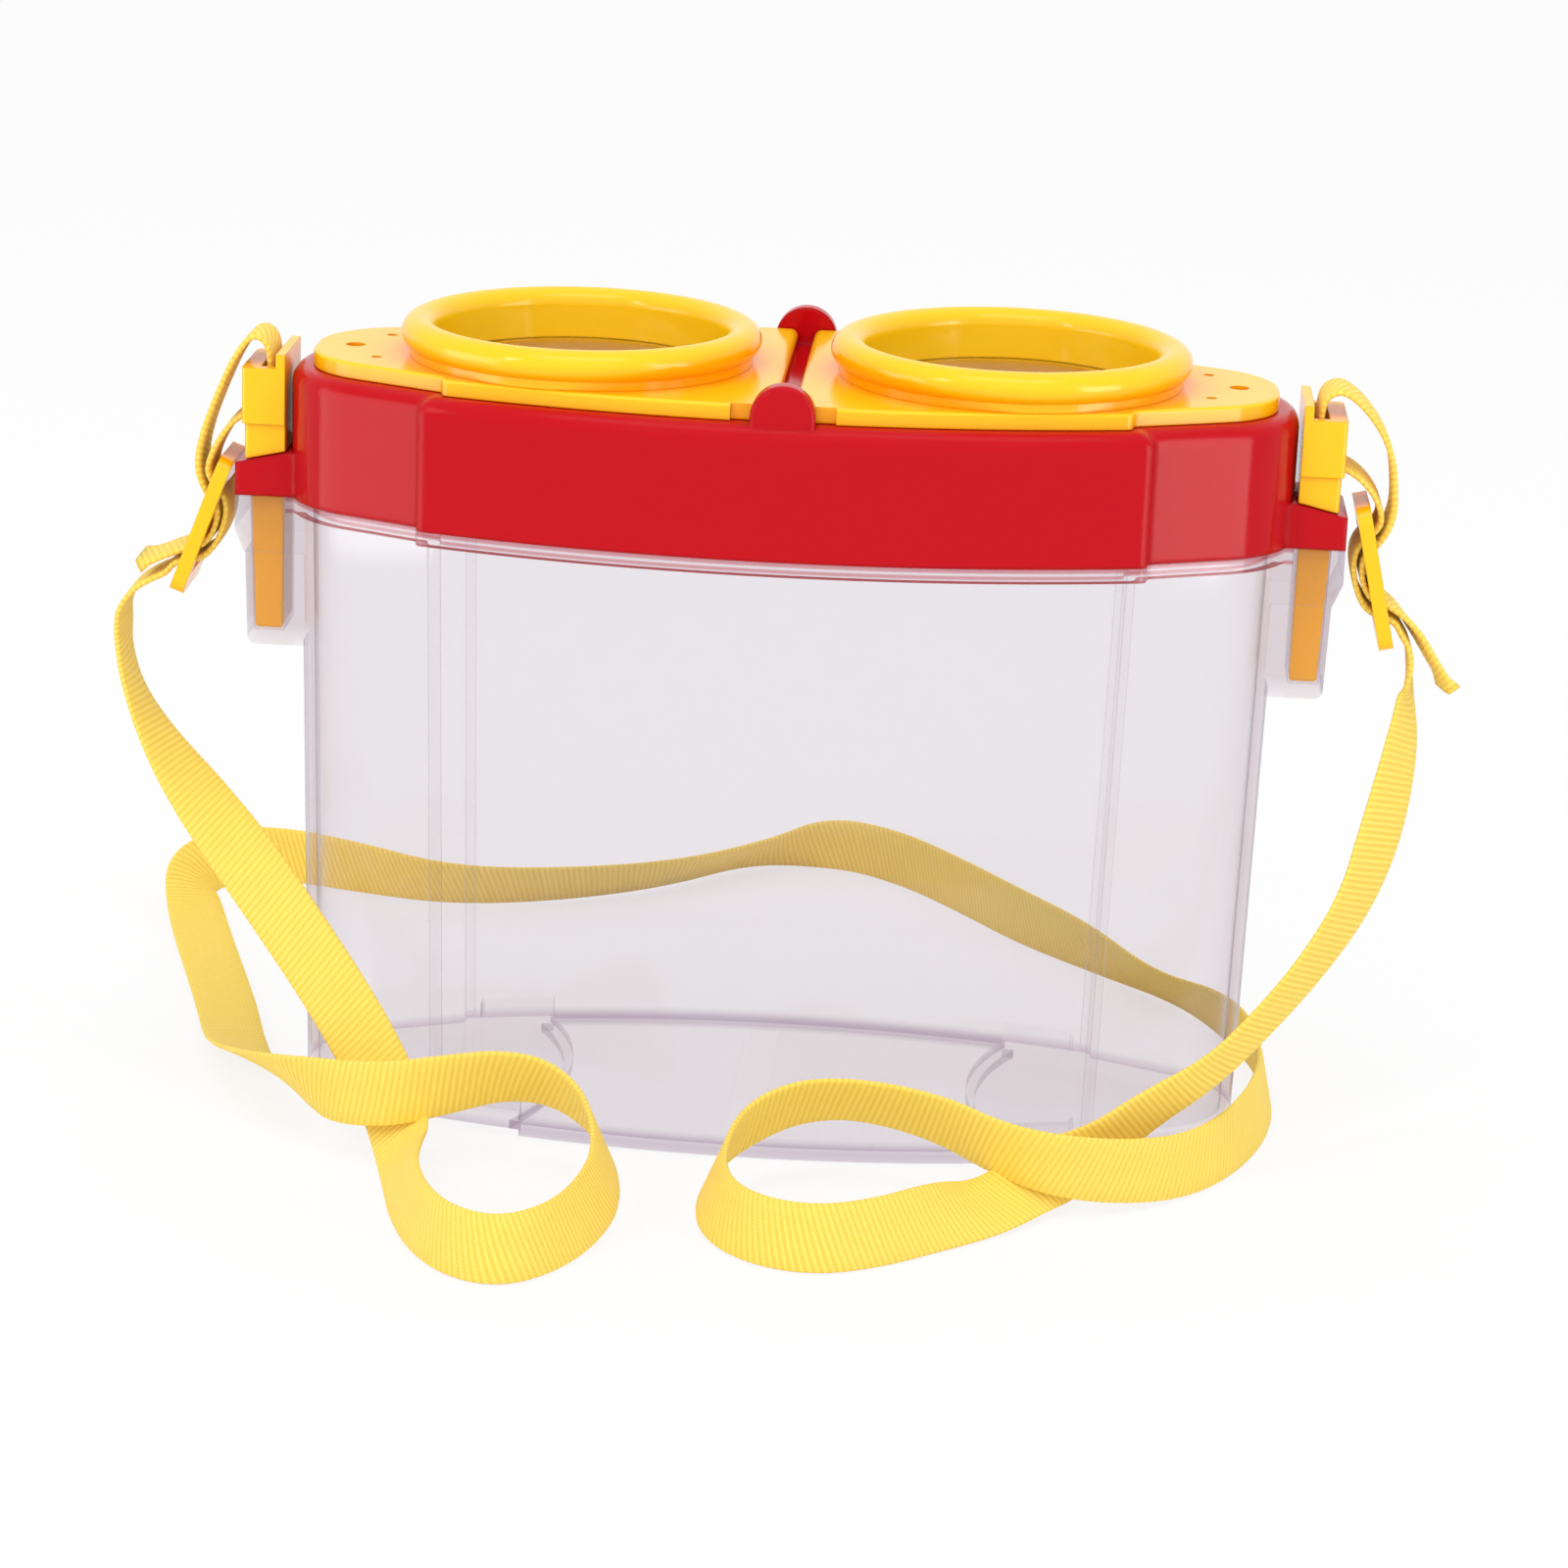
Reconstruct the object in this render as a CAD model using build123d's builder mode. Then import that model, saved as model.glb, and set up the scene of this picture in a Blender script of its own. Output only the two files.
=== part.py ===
"""Bug catcher jar: clear jar, red lid, two magnifier flaps, two pull-up latches and a neck strap.

Millimetres, +Z up. The origin is the middle of the jar's underside, X runs along the jar's length
and the front looks towards -Y.
"""
import os
from math import acos, atan2, cos, hypot, radians, sin, sqrt, tan

from build123d import *

# Rim outline, seen from above: bowed front and back panels, a small step, slanted end lobes
HALF_LENGTH = 76.0
HALF_DEPTH = 32.7
PANEL_BOW = 7.84
LOBE_LENGTH = 22.0
STEP_DEPTH = 2.46
END_RADIUS = 17.0
END_FLAT = 1.5
STEP_ROUND_SHARE = 0.58

# Rounded edges of jar and lid are lofted in this many bands
ROUND_BANDS = 4

# Jar
RIM_Z = 94.2
FLANGE_THICK = 2.0
WALL = 1.7
FLOOR = 1.6
WALL_INSET_TOP = 1.6
WALL_INSET_BASE = 3.2
NECK_CLEARANCE = 0.3
NECK_HEIGHT = 11.0
BASE_ROUND = 1.1
PAD_RISE = 1.4
PAD_RADIUS = 46.0
PAD_REACH = 44.8
LEDGE_RISE = 4.0
LEDGE_LENGTH = 11.4
LEDGE_DEPTH = 1.6
LEDGE_FROM_END = 28.0

# Lid
SEAT_GAP = 0.2
LID_HEIGHT = 20.0
SKIRT_THICK = 1.5
DECK_THICK = 2.0
LID_ROUND = 2.4
DOOR_CLEARANCE = 0.8
EAR_RADIUS = 4.8
EAR_RISE = 1.1
EAR_THICK = 3.0
EAR_SET_BACK = 1.0
EAR_ROUND = 0.6

# Flaps, lens rings and lenses
FLAP_INSET = 3.2
FLAP_THICK = 2.4
FLAP_GAP = 0.1
FLAP_ROUND = 0.5
HINGE_X = 2.5
PIN_RADIUS = 1.0
PIN_LENGTH = 2.2
PIN_CLEARANCE = 0.05
PIN_END_GAP = 0.3
NOTCH_CLEARANCE = 2.9
RING_FROM_HINGE = 29.95
LENS_RADIUS = 22.6
LENS_RIM = 1.5
LENS_BULGE = 1.4
LENS_CLEARANCE = 0.2
SPIGOT_CLEARANCE = 0.05
SPIGOT_WALL = 0.85
BEAD_WIDTH = 5.3
BEAD_HEIGHT = 4.8
RING_SEAT = 3.2
RING_FOOT_HEIGHT = 1.0
CUP_WALL = 1.6
CUP_LIP = 0.9
CUP_DROP = 1.6
LIP_WIDTH = 1.4
VENT_RADIUS = 1.5
VENT_FROM_END = 9.2
SMALL_VENT_RADIUS = 0.8
SMALL_VENT_FROM_END = 13.6
SMALL_VENT_Y = 8.4

# Strap width and thickness, which size the slots that it passes
STRAP_WIDTH = 10.0
STRAP_THICK = 0.9
STRAP_CLEARANCE = 0.6

# Latches, lugs on the lid and sockets on the jar
TONGUE_OFFSET = 1.0
TONGUE_ROOT = 5.0
TONGUE_TIP = 4.1
TONGUE_HALF = 4.6
TONGUE_LENGTH = 28.5
TONGUE_ROUND = 0.7
TONGUE_CLEARANCE = 0.25
LUG_OUTER_WALL = 1.65
LUG_CHEEK = 2.75
LUG_HEIGHT = 5.0
LUG_SLOPE = 1.8
SOCKET_MOUTH = 5.0
SOCKET_SLANT = 3.6
SOCKET_WALL = 0.7
SOCKET_CHEEK = 1.7
SOCKET_FLOOR = 1.8
SOCKET_ROUND = 1.4
HEAD_OFFSET = 0.4
HEAD_CHEEK = 1.8
HEAD_HEIGHT = 12.8
HEAD_ROUND = 0.7
SHOULDER_HEIGHT = 4.2
SHOULDER_STEP = 0.4
CROSSBAR_HEIGHT = 5.0
CROSSBAR_THICK = 2.7
STRAP_CHANNEL = 2.5
BACK_PLATE = 1.4
BACK_PLATE_RISE = 2.2

# Sliders
SLIDER_THICK = 2.2
SLIDER_BAR = 4.0
SLIDER_SLOT = 5.6
SLIDER_END = 3.6
SLIDER_RAIL = 1.9
SLIDER_CORNER = 2.5

# Strap bends
ARC_SHARE = 0.45
WIDE_TURN = 40.0

# Heights and places that follow from the sizes above
FLANGE_Z = RIM_Z - FLANGE_THICK
SKIRT_Z = RIM_Z + SEAT_GAP
DECK_Z = SKIRT_Z + LID_HEIGHT
FLAP_Z = DECK_Z + FLAP_GAP
FLAP_TOP = FLAP_Z + FLAP_THICK
HINGE_Z = FLAP_Z + FLAP_THICK / 2
EAR_OUTER_Y = HALF_DEPTH - EAR_SET_BACK
EAR_INNER_Y = EAR_OUTER_Y - EAR_THICK
BARREL_END_Y = EAR_INNER_Y - PIN_END_GAP
RING_X = HINGE_X + RING_FROM_HINGE
CUP_BORE = LENS_RADIUS + LENS_CLEARANCE
CUP_RADIUS = CUP_BORE + CUP_WALL
CUP_Z = FLAP_Z - CUP_DROP
LENS_Z = CUP_Z + CUP_LIP
LENS_TOP = LENS_Z + LENS_RIM
TONGUE_X = HALF_LENGTH + TONGUE_OFFSET
LUG_X = TONGUE_X + TONGUE_ROOT + TONGUE_CLEARANCE + LUG_OUTER_WALL
LUG_HALF = TONGUE_HALF + TONGUE_CLEARANCE + LUG_CHEEK
LUG_TOP = SKIRT_Z + LUG_HEIGHT
ROOT_X = HALF_LENGTH - END_RADIUS / 2
HEAD_X = HALF_LENGTH + HEAD_OFFSET
PLATE_X = HEAD_X + BACK_PLATE
CROSSBAR_X = PLATE_X + STRAP_CHANNEL
HEAD_OUTER_X = CROSSBAR_X + CROSSBAR_THICK
STRAP_SLOT_HALF = STRAP_WIDTH / 2 + STRAP_CLEARANCE
HEAD_HALF = STRAP_SLOT_HALF + HEAD_CHEEK
TONGUE_TOP = LUG_TOP + LUG_SLOPE
TONGUE_TIP_Z = TONGUE_TOP - TONGUE_LENGTH
SLOT_Z = TONGUE_TOP + SHOULDER_HEIGHT
HEAD_TOP = TONGUE_TOP + HEAD_HEIGHT
CROSSBAR_Z = HEAD_TOP - CROSSBAR_HEIGHT

os.makedirs("parts", exist_ok=True)


def rim(inset, height):
    """The rim outline moved in by inset, as a level face at the given height."""
    panel_end_y = HALF_DEPTH - PANEL_BOW
    lobe_start_y = panel_end_y - STEP_DEPTH
    panel_end_x = HALF_LENGTH - LOBE_LENGTH
    panel_radius = (panel_end_x**2 + PANEL_BOW**2) / (2 * PANEL_BOW)
    end_x = HALF_LENGTH - END_RADIUS

    # The lobe's straight side leaves the step and is tangent to the end arc
    away = end_x - panel_end_x
    beside = lobe_start_y - END_FLAT
    slant = acos(END_RADIUS / hypot(away, beside)) - atan2(away, beside)

    step_x = panel_end_x - inset
    panel_y = sqrt((panel_radius - inset) ** 2 - step_x**2) - (panel_radius - HALF_DEPTH)
    along = (sin(slant) - 1) * inset / cos(slant)
    lobe_y = lobe_start_y - inset * cos(slant) - along * sin(slant)
    radius = END_RADIUS - inset
    half_turn = (radians(90) + slant) / 2
    tip_x = end_x + radius

    with BuildSketch(Plane.XY.offset(height)) as outline:
        with BuildLine():
            for face in (-1, 1):
                front = face * (HALF_DEPTH - inset)
                ThreePointArc((-step_x, face * panel_y), (0, front), (step_x, face * panel_y))
                for end in (-1, 1):
                    step = (end * step_x, face * lobe_y)
                    lobe = (end * (end_x + radius * sin(slant)), face * (END_FLAT + radius * cos(slant)))
                    bend_x = end_x + radius * sin(half_turn)
                    bend = (end * bend_x, face * (END_FLAT + radius * cos(half_turn)))
                    Line((end * step_x, face * panel_y), step)
                    Line(step, lobe)
                    ThreePointArc(lobe, bend, (end * tip_x, face * END_FLAT))
            for end in (-1, 1):
                Line((end * tip_x, -END_FLAT), (end * tip_x, END_FLAT))
        make_face()
        corners = [v for v in outline.vertices() if abs(abs(v.X) - step_x) < STEP_DEPTH / 10]
        fillet(corners, STEP_ROUND_SHARE * (panel_y - lobe_y))
    return outline.sketch


def wall_inset(height):
    """How far the drafted jar wall stands inside the rim outline at a height."""
    return WALL_INSET_BASE - (WALL_INSET_BASE - WALL_INSET_TOP) * height / FLANGE_Z


def tongue_reach(height):
    """Thickness of the tapered latch tongue at a height."""
    share = (height - TONGUE_TIP_Z) / (TONGUE_TOP - TONGUE_TIP_Z)
    return TONGUE_TIP + (TONGUE_ROOT - TONGUE_TIP) * share


def side_profile(points, end):
    """A closed outline in the XZ plane, for the end of the jar that end names."""
    with BuildSketch(Plane.XZ) as profile:
        with BuildLine():
            Polyline([(end * x, z) for x, z in points], close=True)
        make_face()
    return profile.sketch


# Clear jar
mouth_z = RIM_Z - SOCKET_MOUTH
slant_z = mouth_z - SOCKET_SLANT
socket_z = TONGUE_TIP_Z - SOCKET_FLOOR
socket_half = TONGUE_HALF + TONGUE_CLEARANCE + SOCKET_CHEEK
wall_reach = TONGUE_CLEARANCE + SOCKET_WALL
slant_x = TONGUE_X + tongue_reach(slant_z) + wall_reach
foot_x = TONGUE_X + tongue_reach(TONGUE_TIP_Z) + wall_reach
neck_top = RIM_Z + NECK_HEIGHT
upward = (Align.CENTER, Align.CENTER, Align.MIN)
ledge_inset = wall_inset(0) + WALL + LEDGE_DEPTH
ledge_steps = [(wall_inset(0) + WALL / 2, FLOOR, LEDGE_RISE, Mode.ADD), (0, 0, PAD_RISE, Mode.SUBTRACT)]
base_edge = []
for band in range(ROUND_BANDS + 1):
    swing = radians(90 * band / ROUND_BANDS)
    band_z = BASE_ROUND * (1 - cos(swing))
    base_edge.append(rim(wall_inset(band_z) + BASE_ROUND * (1 - sin(swing)), band_z))

with BuildPart() as jar:
    loft(sections=base_edge + [rim(wall_inset(FLANGE_Z), FLANGE_Z)], ruled=True)
    extrude(rim(0, FLANGE_Z), amount=FLANGE_THICK)
    extrude(rim(SKIRT_THICK + NECK_CLEARANCE, RIM_Z), amount=NECK_HEIGHT)
    for end in (-1, 1):
        mouth = [(ROOT_X, RIM_Z), (LUG_X, RIM_Z), (LUG_X, mouth_z), (slant_x, slant_z), (ROOT_X, slant_z)]
        extrude(side_profile(mouth, end), amount=LUG_HALF, both=True)
        with BuildSketch(Plane.XZ) as socket:
            with BuildLine():
                corners = [(ROOT_X, slant_z), (slant_x, slant_z), (foot_x, socket_z), (ROOT_X, socket_z)]
                Polyline([(end * x, z) for x, z in corners], close=True)
            make_face()
            fillet(socket.vertices().group_by(Axis.Y)[0].sort_by(Axis.X)[0 if end < 0 else -1], SOCKET_ROUND)
        extrude(amount=socket_half, both=True)
    cavity = [rim(wall_inset(z) + WALL, z) for z in (FLOOR, neck_top)]
    loft(sections=cavity, ruled=True, mode=Mode.SUBTRACT)
    for end in (-1, 1):
        pad_x = end * (HALF_LENGTH - PAD_REACH + PAD_RADIUS)
        with BuildSketch(Plane.XY.offset(FLOOR)):
            add(rim(wall_inset(0) + WALL / 2, FLOOR))
            with Locations((pad_x, 0)):
                Circle(PAD_RADIUS, mode=Mode.INTERSECT)
        extrude(amount=PAD_RISE)
        ledge_x = end * (HALF_LENGTH - LEDGE_FROM_END - LEDGE_LENGTH / 2)
        for outer, height, rise, mode in ledge_steps:
            with BuildSketch(Plane.XY.offset(height)):
                add(rim(outer, height))
                add(rim(ledge_inset, height), mode=Mode.SUBTRACT)
                with Locations((ledge_x, 0)):
                    Rectangle(LEDGE_LENGTH, 2 * HALF_DEPTH, mode=Mode.INTERSECT)
            extrude(amount=rise, mode=mode)
        with Locations((pad_x, 0, 0)):
            Cylinder(PAD_RADIUS - PAD_RISE, PAD_RISE, align=upward, mode=Mode.SUBTRACT)
        bore = [
            (TONGUE_X - TONGUE_CLEARANCE, TONGUE_TIP_Z),
            (TONGUE_X + tongue_reach(TONGUE_TIP_Z) + TONGUE_CLEARANCE, TONGUE_TIP_Z),
            (TONGUE_X + tongue_reach(RIM_Z) + TONGUE_CLEARANCE, RIM_Z),
            (TONGUE_X - TONGUE_CLEARANCE, RIM_Z),
        ]
        extrude(side_profile(bore, end), amount=TONGUE_HALF + TONGUE_CLEARANCE, both=True, mode=Mode.SUBTRACT)
jar.part.label = "jar"
export_step(jar.part, "parts/jar.step")


# Red lid with its hinge ears and the two lugs that the latches pass through
door_radius = CUP_RADIUS + DOOR_CLEARANCE
shoulder_z = DECK_Z - LID_ROUND
shoulder = []
for band in range(ROUND_BANDS + 1):
    swing = radians(90 * band / ROUND_BANDS)
    shoulder.append(rim(LID_ROUND * (1 - cos(swing)), shoulder_z + LID_ROUND * sin(swing)))

with BuildPart() as lid:
    extrude(rim(0, SKIRT_Z), amount=LID_HEIGHT - LID_ROUND)
    loft(sections=shoulder, ruled=True)
    for end in (-1, 1):
        lug_roof = [(LUG_X, LUG_TOP), (HALF_LENGTH, TONGUE_TOP), (ROOT_X, TONGUE_TOP)]
        lug = [(ROOT_X, SKIRT_Z), (LUG_X, SKIRT_Z)] + lug_roof
        extrude(side_profile(lug, end), amount=LUG_HALF, both=True)
    extrude(rim(SKIRT_THICK, SKIRT_Z), amount=LID_HEIGHT - DECK_THICK, mode=Mode.SUBTRACT)
    for face in (-1, 1):
        with BuildSketch(Plane.XZ.offset(-face * EAR_INNER_Y)) as ear:
            with Locations((0, DECK_Z + EAR_RISE)):
                Circle(EAR_RADIUS)
                Rectangle(2 * EAR_RADIUS, EAR_RISE + DECK_THICK, align=(Align.CENTER, Align.MAX))
            with Locations((0, DECK_Z - DECK_THICK)):
                Rectangle(4 * EAR_RADIUS, 2 * EAR_RADIUS, align=(Align.CENTER, Align.MAX), mode=Mode.SUBTRACT)
        extrude(amount=-face * EAR_THICK)
        ear_tops = lid.edges().filter_by(GeomType.CIRCLE).sort_by(Axis.Z)[-2:]
        fillet(ear_tops.sort_by(Axis.Y)[0 if face < 0 else -1], EAR_ROUND)
        for end in (-1, 1):
            with Locations(Plane((end * HINGE_X, face * EAR_INNER_Y, HINGE_Z), z_dir=(0, face, 0))):
                Hole(PIN_RADIUS + PIN_CLEARANCE, depth=PIN_LENGTH + PIN_END_GAP)
    window = TONGUE_ROOT + 2 * TONGUE_CLEARANCE
    for end in (-1, 1):
        with Locations((end * RING_X, 0, DECK_Z)):
            Cylinder(door_radius, 2 * (DECK_THICK + LID_ROUND), mode=Mode.SUBTRACT)
        with Locations((end * (TONGUE_X + TONGUE_ROOT / 2), 0, SKIRT_Z)):
            Box(window, 2 * (TONGUE_HALF + TONGUE_CLEARANCE), 2 * (TONGUE_TOP - SKIRT_Z), mode=Mode.SUBTRACT)
lid.part.label = "lid"
export_step(lid.part, "parts/lid.step")


def hand(end):
    """Word for the end of the jar, as seen from the front."""
    return "left" if end < 0 else "right"


# Magnifier flaps: plate with a rolled hinge edge, two hinge pins and a cup for the lens
notch_x = EAR_RADIUS + NOTCH_CLEARANCE
lip_radius = LENS_RADIUS - LIP_WIDTH
spigot_radius = CUP_BORE - SPIGOT_CLEARANCE
ring_bore = spigot_radius - SPIGOT_WALL
bead_z = FLAP_TOP + RING_FOOT_HEIGHT + BEAD_HEIGHT / 2
bulge_radius = lip_radius - LENS_CLEARANCE
ball_radius = (bulge_radius**2 + LENS_BULGE**2) / (2 * LENS_BULGE)
ball_drop = ball_radius - LENS_BULGE
outward = (Align.MIN, Align.MIN)

for end in (-1, 1):
    with BuildPart() as flap:
        with BuildSketch(Plane.XY.offset(FLAP_Z)):
            add(rim(FLAP_INSET, FLAP_Z))
            inner = Align.MIN if end > 0 else Align.MAX
            with Locations((end * HINGE_X, 0)):
                Rectangle(HALF_LENGTH, 2 * HALF_DEPTH, align=(inner, Align.CENTER), mode=Mode.INTERSECT)
            for face in (-1, 1):
                outer = Align.MIN if face > 0 else Align.MAX
                with Locations((0, face * BARREL_END_Y)):
                    Rectangle(2 * notch_x, HALF_DEPTH, align=(Align.CENTER, outer), mode=Mode.SUBTRACT)
        extrude(amount=FLAP_THICK)
        rim_edges = flap.faces().sort_by(Axis.Z)[-1].edges()
        fillet([e for e in rim_edges if abs(e.center().X) > notch_x], FLAP_ROUND)
        barrel = Plane((end * HINGE_X, 0, HINGE_Z), z_dir=(0, 1, 0))
        with Locations(barrel):
            Cylinder(FLAP_THICK / 2, 2 * BARREL_END_Y)
            Cylinder(PIN_RADIUS, 2 * (BARREL_END_Y + PIN_LENGTH))
        with Locations((end * RING_X, 0, CUP_Z)):
            Cylinder(CUP_RADIUS, CUP_DROP, align=upward)
            Cylinder(lip_radius, CUP_DROP, align=upward, mode=Mode.SUBTRACT)
        with Locations((end * RING_X, 0, LENS_Z)):
            Cylinder(CUP_BORE, FLAP_TOP - LENS_Z, align=upward, mode=Mode.SUBTRACT)
        with Locations((end * (HALF_LENGTH - VENT_FROM_END), 0, FLAP_TOP)):
            Hole(VENT_RADIUS, depth=FLAP_THICK)
        small_vent_x = end * (HALF_LENGTH - SMALL_VENT_FROM_END)
        with Locations((small_vent_x, -SMALL_VENT_Y, FLAP_TOP), (small_vent_x, SMALL_VENT_Y, FLAP_TOP)):
            Hole(SMALL_VENT_RADIUS, depth=FLAP_THICK)
    flap.part.label = f"{hand(end)}_flap"
    export_step(flap.part, f"parts/{hand(end)}_flap.step")

    # Lens ring: a round bead on a foot, with a spigot that holds the lens down in the cup
    with BuildPart() as lens_ring:
        with BuildSketch(Plane.XZ.move(Location((end * RING_X, 0, 0)))):
            with Locations((ring_bore + BEAD_WIDTH / 2, bead_z)):
                Ellipse(BEAD_WIDTH / 2, BEAD_HEIGHT / 2)
            with Locations((ring_bore, FLAP_TOP)):
                Rectangle(SPIGOT_WALL + RING_SEAT, bead_z - FLAP_TOP, align=outward)
            with Locations((ring_bore, LENS_TOP)):
                Rectangle(SPIGOT_WALL, bead_z - LENS_TOP, align=outward)
        revolve(axis=Axis((end * RING_X, 0, 0), (0, 0, 1)))
    lens_ring.part.label = f"{hand(end)}_lens_ring"
    export_step(lens_ring.part, f"parts/{hand(end)}_lens_ring.step")

    # Lens: a thin magnifier with a flat rim that sits on the lip of the cup
    with BuildPart() as lens:
        with BuildSketch(Plane.XZ.move(Location((end * RING_X, 0, 0)))):
            with Locations((0, LENS_TOP - ball_drop)):
                Circle(ball_radius)
            with Locations((0, LENS_Z + ball_drop)):
                Circle(ball_radius, mode=Mode.INTERSECT)
            with Locations((0, LENS_Z - LENS_BULGE)):
                Rectangle(bulge_radius, LENS_RIM + 2 * LENS_BULGE, align=outward, mode=Mode.INTERSECT)
            with Locations((0, LENS_Z)):
                Rectangle(LENS_RADIUS, LENS_RIM, align=outward)
        revolve(axis=Axis((end * RING_X, 0, 0), (0, 0, 1)))
    lens.part.label = f"{hand(end)}_lens"
    export_step(lens.part, f"parts/{hand(end)}_lens.step")


# Pull-up latches: a head that holds the strap and a tongue that drops through lug and socket
head_reach = HEAD_OUTER_X - HEAD_X


def lug_top(x):
    """Height of the sloping lug top at a distance from the middle of the jar."""
    return LUG_TOP + LUG_SLOPE * (LUG_X - x) / (LUG_X - HALF_LENGTH)


def head_plan(end, height, step):
    """Level outline of the latch head, made smaller by step on its three free sides."""
    reach = head_reach - step
    with BuildSketch(Plane.XY.offset(height)) as plan:
        with Locations((end * (HEAD_X + reach / 2), 0)):
            Rectangle(reach, 2 * (HEAD_HALF - step))
        fillet(plan.vertices().group_by(Axis.X)[0 if end < 0 else -1], HEAD_ROUND)
    return plan.sketch


for end in (-1, 1):
    with BuildPart() as latch:
        extrude(head_plan(end, LUG_TOP, SHOULDER_STEP), amount=SLOT_Z - LUG_TOP)
        below = [
            (HEAD_X, LUG_TOP),
            (HEAD_OUTER_X, LUG_TOP),
            (HEAD_OUTER_X, lug_top(HEAD_OUTER_X) + SEAT_GAP),
            (HEAD_X, lug_top(HEAD_X) + SEAT_GAP),
        ]
        extrude(side_profile(below, end), amount=HEAD_HALF, both=True, mode=Mode.SUBTRACT)
        extrude(head_plan(end, SLOT_Z, 0), amount=HEAD_TOP - SLOT_Z)
        plate_top = HEAD_TOP + BACK_PLATE_RISE
        back = [(HEAD_X, SLOT_Z), (PLATE_X, SLOT_Z), (PLATE_X, plate_top), (HEAD_X, plate_top)]
        extrude(side_profile(back, end), amount=HEAD_HALF, both=True)
        slot = [
            (PLATE_X, SLOT_Z),
            (HEAD_OUTER_X, SLOT_Z),
            (HEAD_OUTER_X, CROSSBAR_Z),
            (CROSSBAR_X, CROSSBAR_Z),
            (CROSSBAR_X, HEAD_TOP),
            (PLATE_X, HEAD_TOP),
        ]
        extrude(side_profile(slot, end), amount=STRAP_SLOT_HALF, both=True, mode=Mode.SUBTRACT)
        tip_z = TONGUE_TIP_Z + TONGUE_CLEARANCE
        tongue = [
            (TONGUE_X, tip_z),
            (TONGUE_X + tongue_reach(TONGUE_TIP_Z), tip_z),
            (TONGUE_X + TONGUE_ROOT, TONGUE_TOP),
            (TONGUE_X + TONGUE_ROOT, SLOT_Z),
            (TONGUE_X, SLOT_Z),
        ]
        extrude(side_profile(tongue, end), amount=TONGUE_HALF, both=True)
        fillet(latch.faces().sort_by(Axis.Z)[0].edges(), TONGUE_ROUND)
    latch.part.label = f"{hand(end)}_latch"
    export_step(latch.part, f"parts/{hand(end)}_latch.step")


# Strap route at the ends, as distance from the middle and height, from the hanging strand to the tail
SLIDER_CENTRE = {-1: (89.3, 88.8), 1: (88.7, 89.8)}
SLIDER_TILT = {-1: 20.4, 1: 13.1}
HANG_TOP = {-1: (102.5, 71.6), 1: (95.3, 74.0)}
UNDER_STRAND = {
    -1: [(102.5, 74.6), (100.2, 78.0), (97.0, 79.9)],
    1: [(95.3, 76.6), (94.8, 79.0)],
}
# Threading of the slider: along its length (down positive), then out from its middle plane
LOWER_PASS = [(9.6, 2.6), (7.1, 1.9), (4.6, -2.95), (-4.6, -2.95), (-7.1, 1.9), (-9.4, 2.7)]
UPPER_PASS = [(-8.4, 4.3), (-5.2, 2.0), (-3.0, -1.75), (3.0, -1.75), (5.2, 2.0)]
LATCH_BEND = {
    -1: [(87.0, 102.0), (84.4, 105.6), (80.8, 107.0), (79.05, 109.2), (79.05, 114.2)],
    1: [(87.6, 102.9), (84.6, 105.7), (80.8, 106.9), (79.05, 109.2), (79.05, 114.2)],
}
OVER_STRAND = {
    -1: [(79.6, 117.6), (82.0, 118.6), (84.6, 115.0), (87.0, 109.6), (89.4, 103.2)],
    1: [(79.6, 117.2), (82.6, 118.2), (87.2, 114.0), (90.2, 108.6), (91.0, 102.6)],
}
TAIL = {-1: [(99.3, 81.6)], 1: [(95.8, 81.6), (99.4, 77.2), (102.2, 73.6)]}


def on_slider(end, along, out):
    """A point given in the slider's own directions, as distance from the middle and height."""
    tilt = radians(SLIDER_TILT[end])
    x, z = SLIDER_CENTRE[end]
    return (x + along * sin(tilt) + out * cos(tilt), z - along * cos(tilt) + out * sin(tilt))


def tangent_arcs(points):
    """Radius at each inner point that uses the same share of the shorter run beside it."""
    radii = []
    for before, here, after in zip(points, points[1:], points[2:]):
        turn = radians((here - before).get_angle(after - here))
        run = min((here - before).length, (after - here).length)
        radii.append(ARC_SHARE * run / tan(turn / 2))
    return radii


def strap_planes(route):
    """Planes across the strap, a list for each point: at the ends, and over each tangent arc."""
    points = [Vector(*point) for point, edge in route]
    edges = [Vector(*edge).normalized() for point, edge in route]
    radii = tangent_arcs(points)
    planes = [[Plane(points[0], x_dir=edges[0], z_dir=points[1] - points[0])]]
    for i, radius in enumerate(radii, start=1):
        run_in = points[i] - points[i - 1]
        run_out = points[i + 1] - points[i]
        turn = radians(run_in.get_angle(run_out))
        reach = radius * tan(turn / 2)
        ahead = run_in.normalized()
        inward = (run_out.normalized() - ahead * cos(turn)).normalized()
        start = points[i] - ahead * reach
        edge_in = edges[i] + (edges[i - 1] - edges[i]) * (reach / run_in.length)
        edge_out = edges[i] + (edges[i + 1] - edges[i]) * (reach / run_out.length)
        across = []
        steps = 2 if turn < radians(WIDE_TURN) else 4
        for step in range(steps + 1):
            swing = turn * step / steps
            edge = edge_in + (edges[i] - edge_in) * (2 * step / steps)
            if 2 * step > steps:
                edge = edges[i] + (edge_out - edges[i]) * (2 * step / steps - 1)
            centre = start + ahead * (radius * sin(swing)) + inward * (radius * (1 - cos(swing)))
            heading = ahead * cos(swing) + inward * sin(swing)
            across.append(Plane(centre, x_dir=edge - heading * edge.dot(heading), z_dir=heading))
        planes.append(across)
    planes.append([Plane(points[-1], x_dir=edges[-1], z_dir=points[-1] - points[-2])])
    return planes, radii


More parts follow.
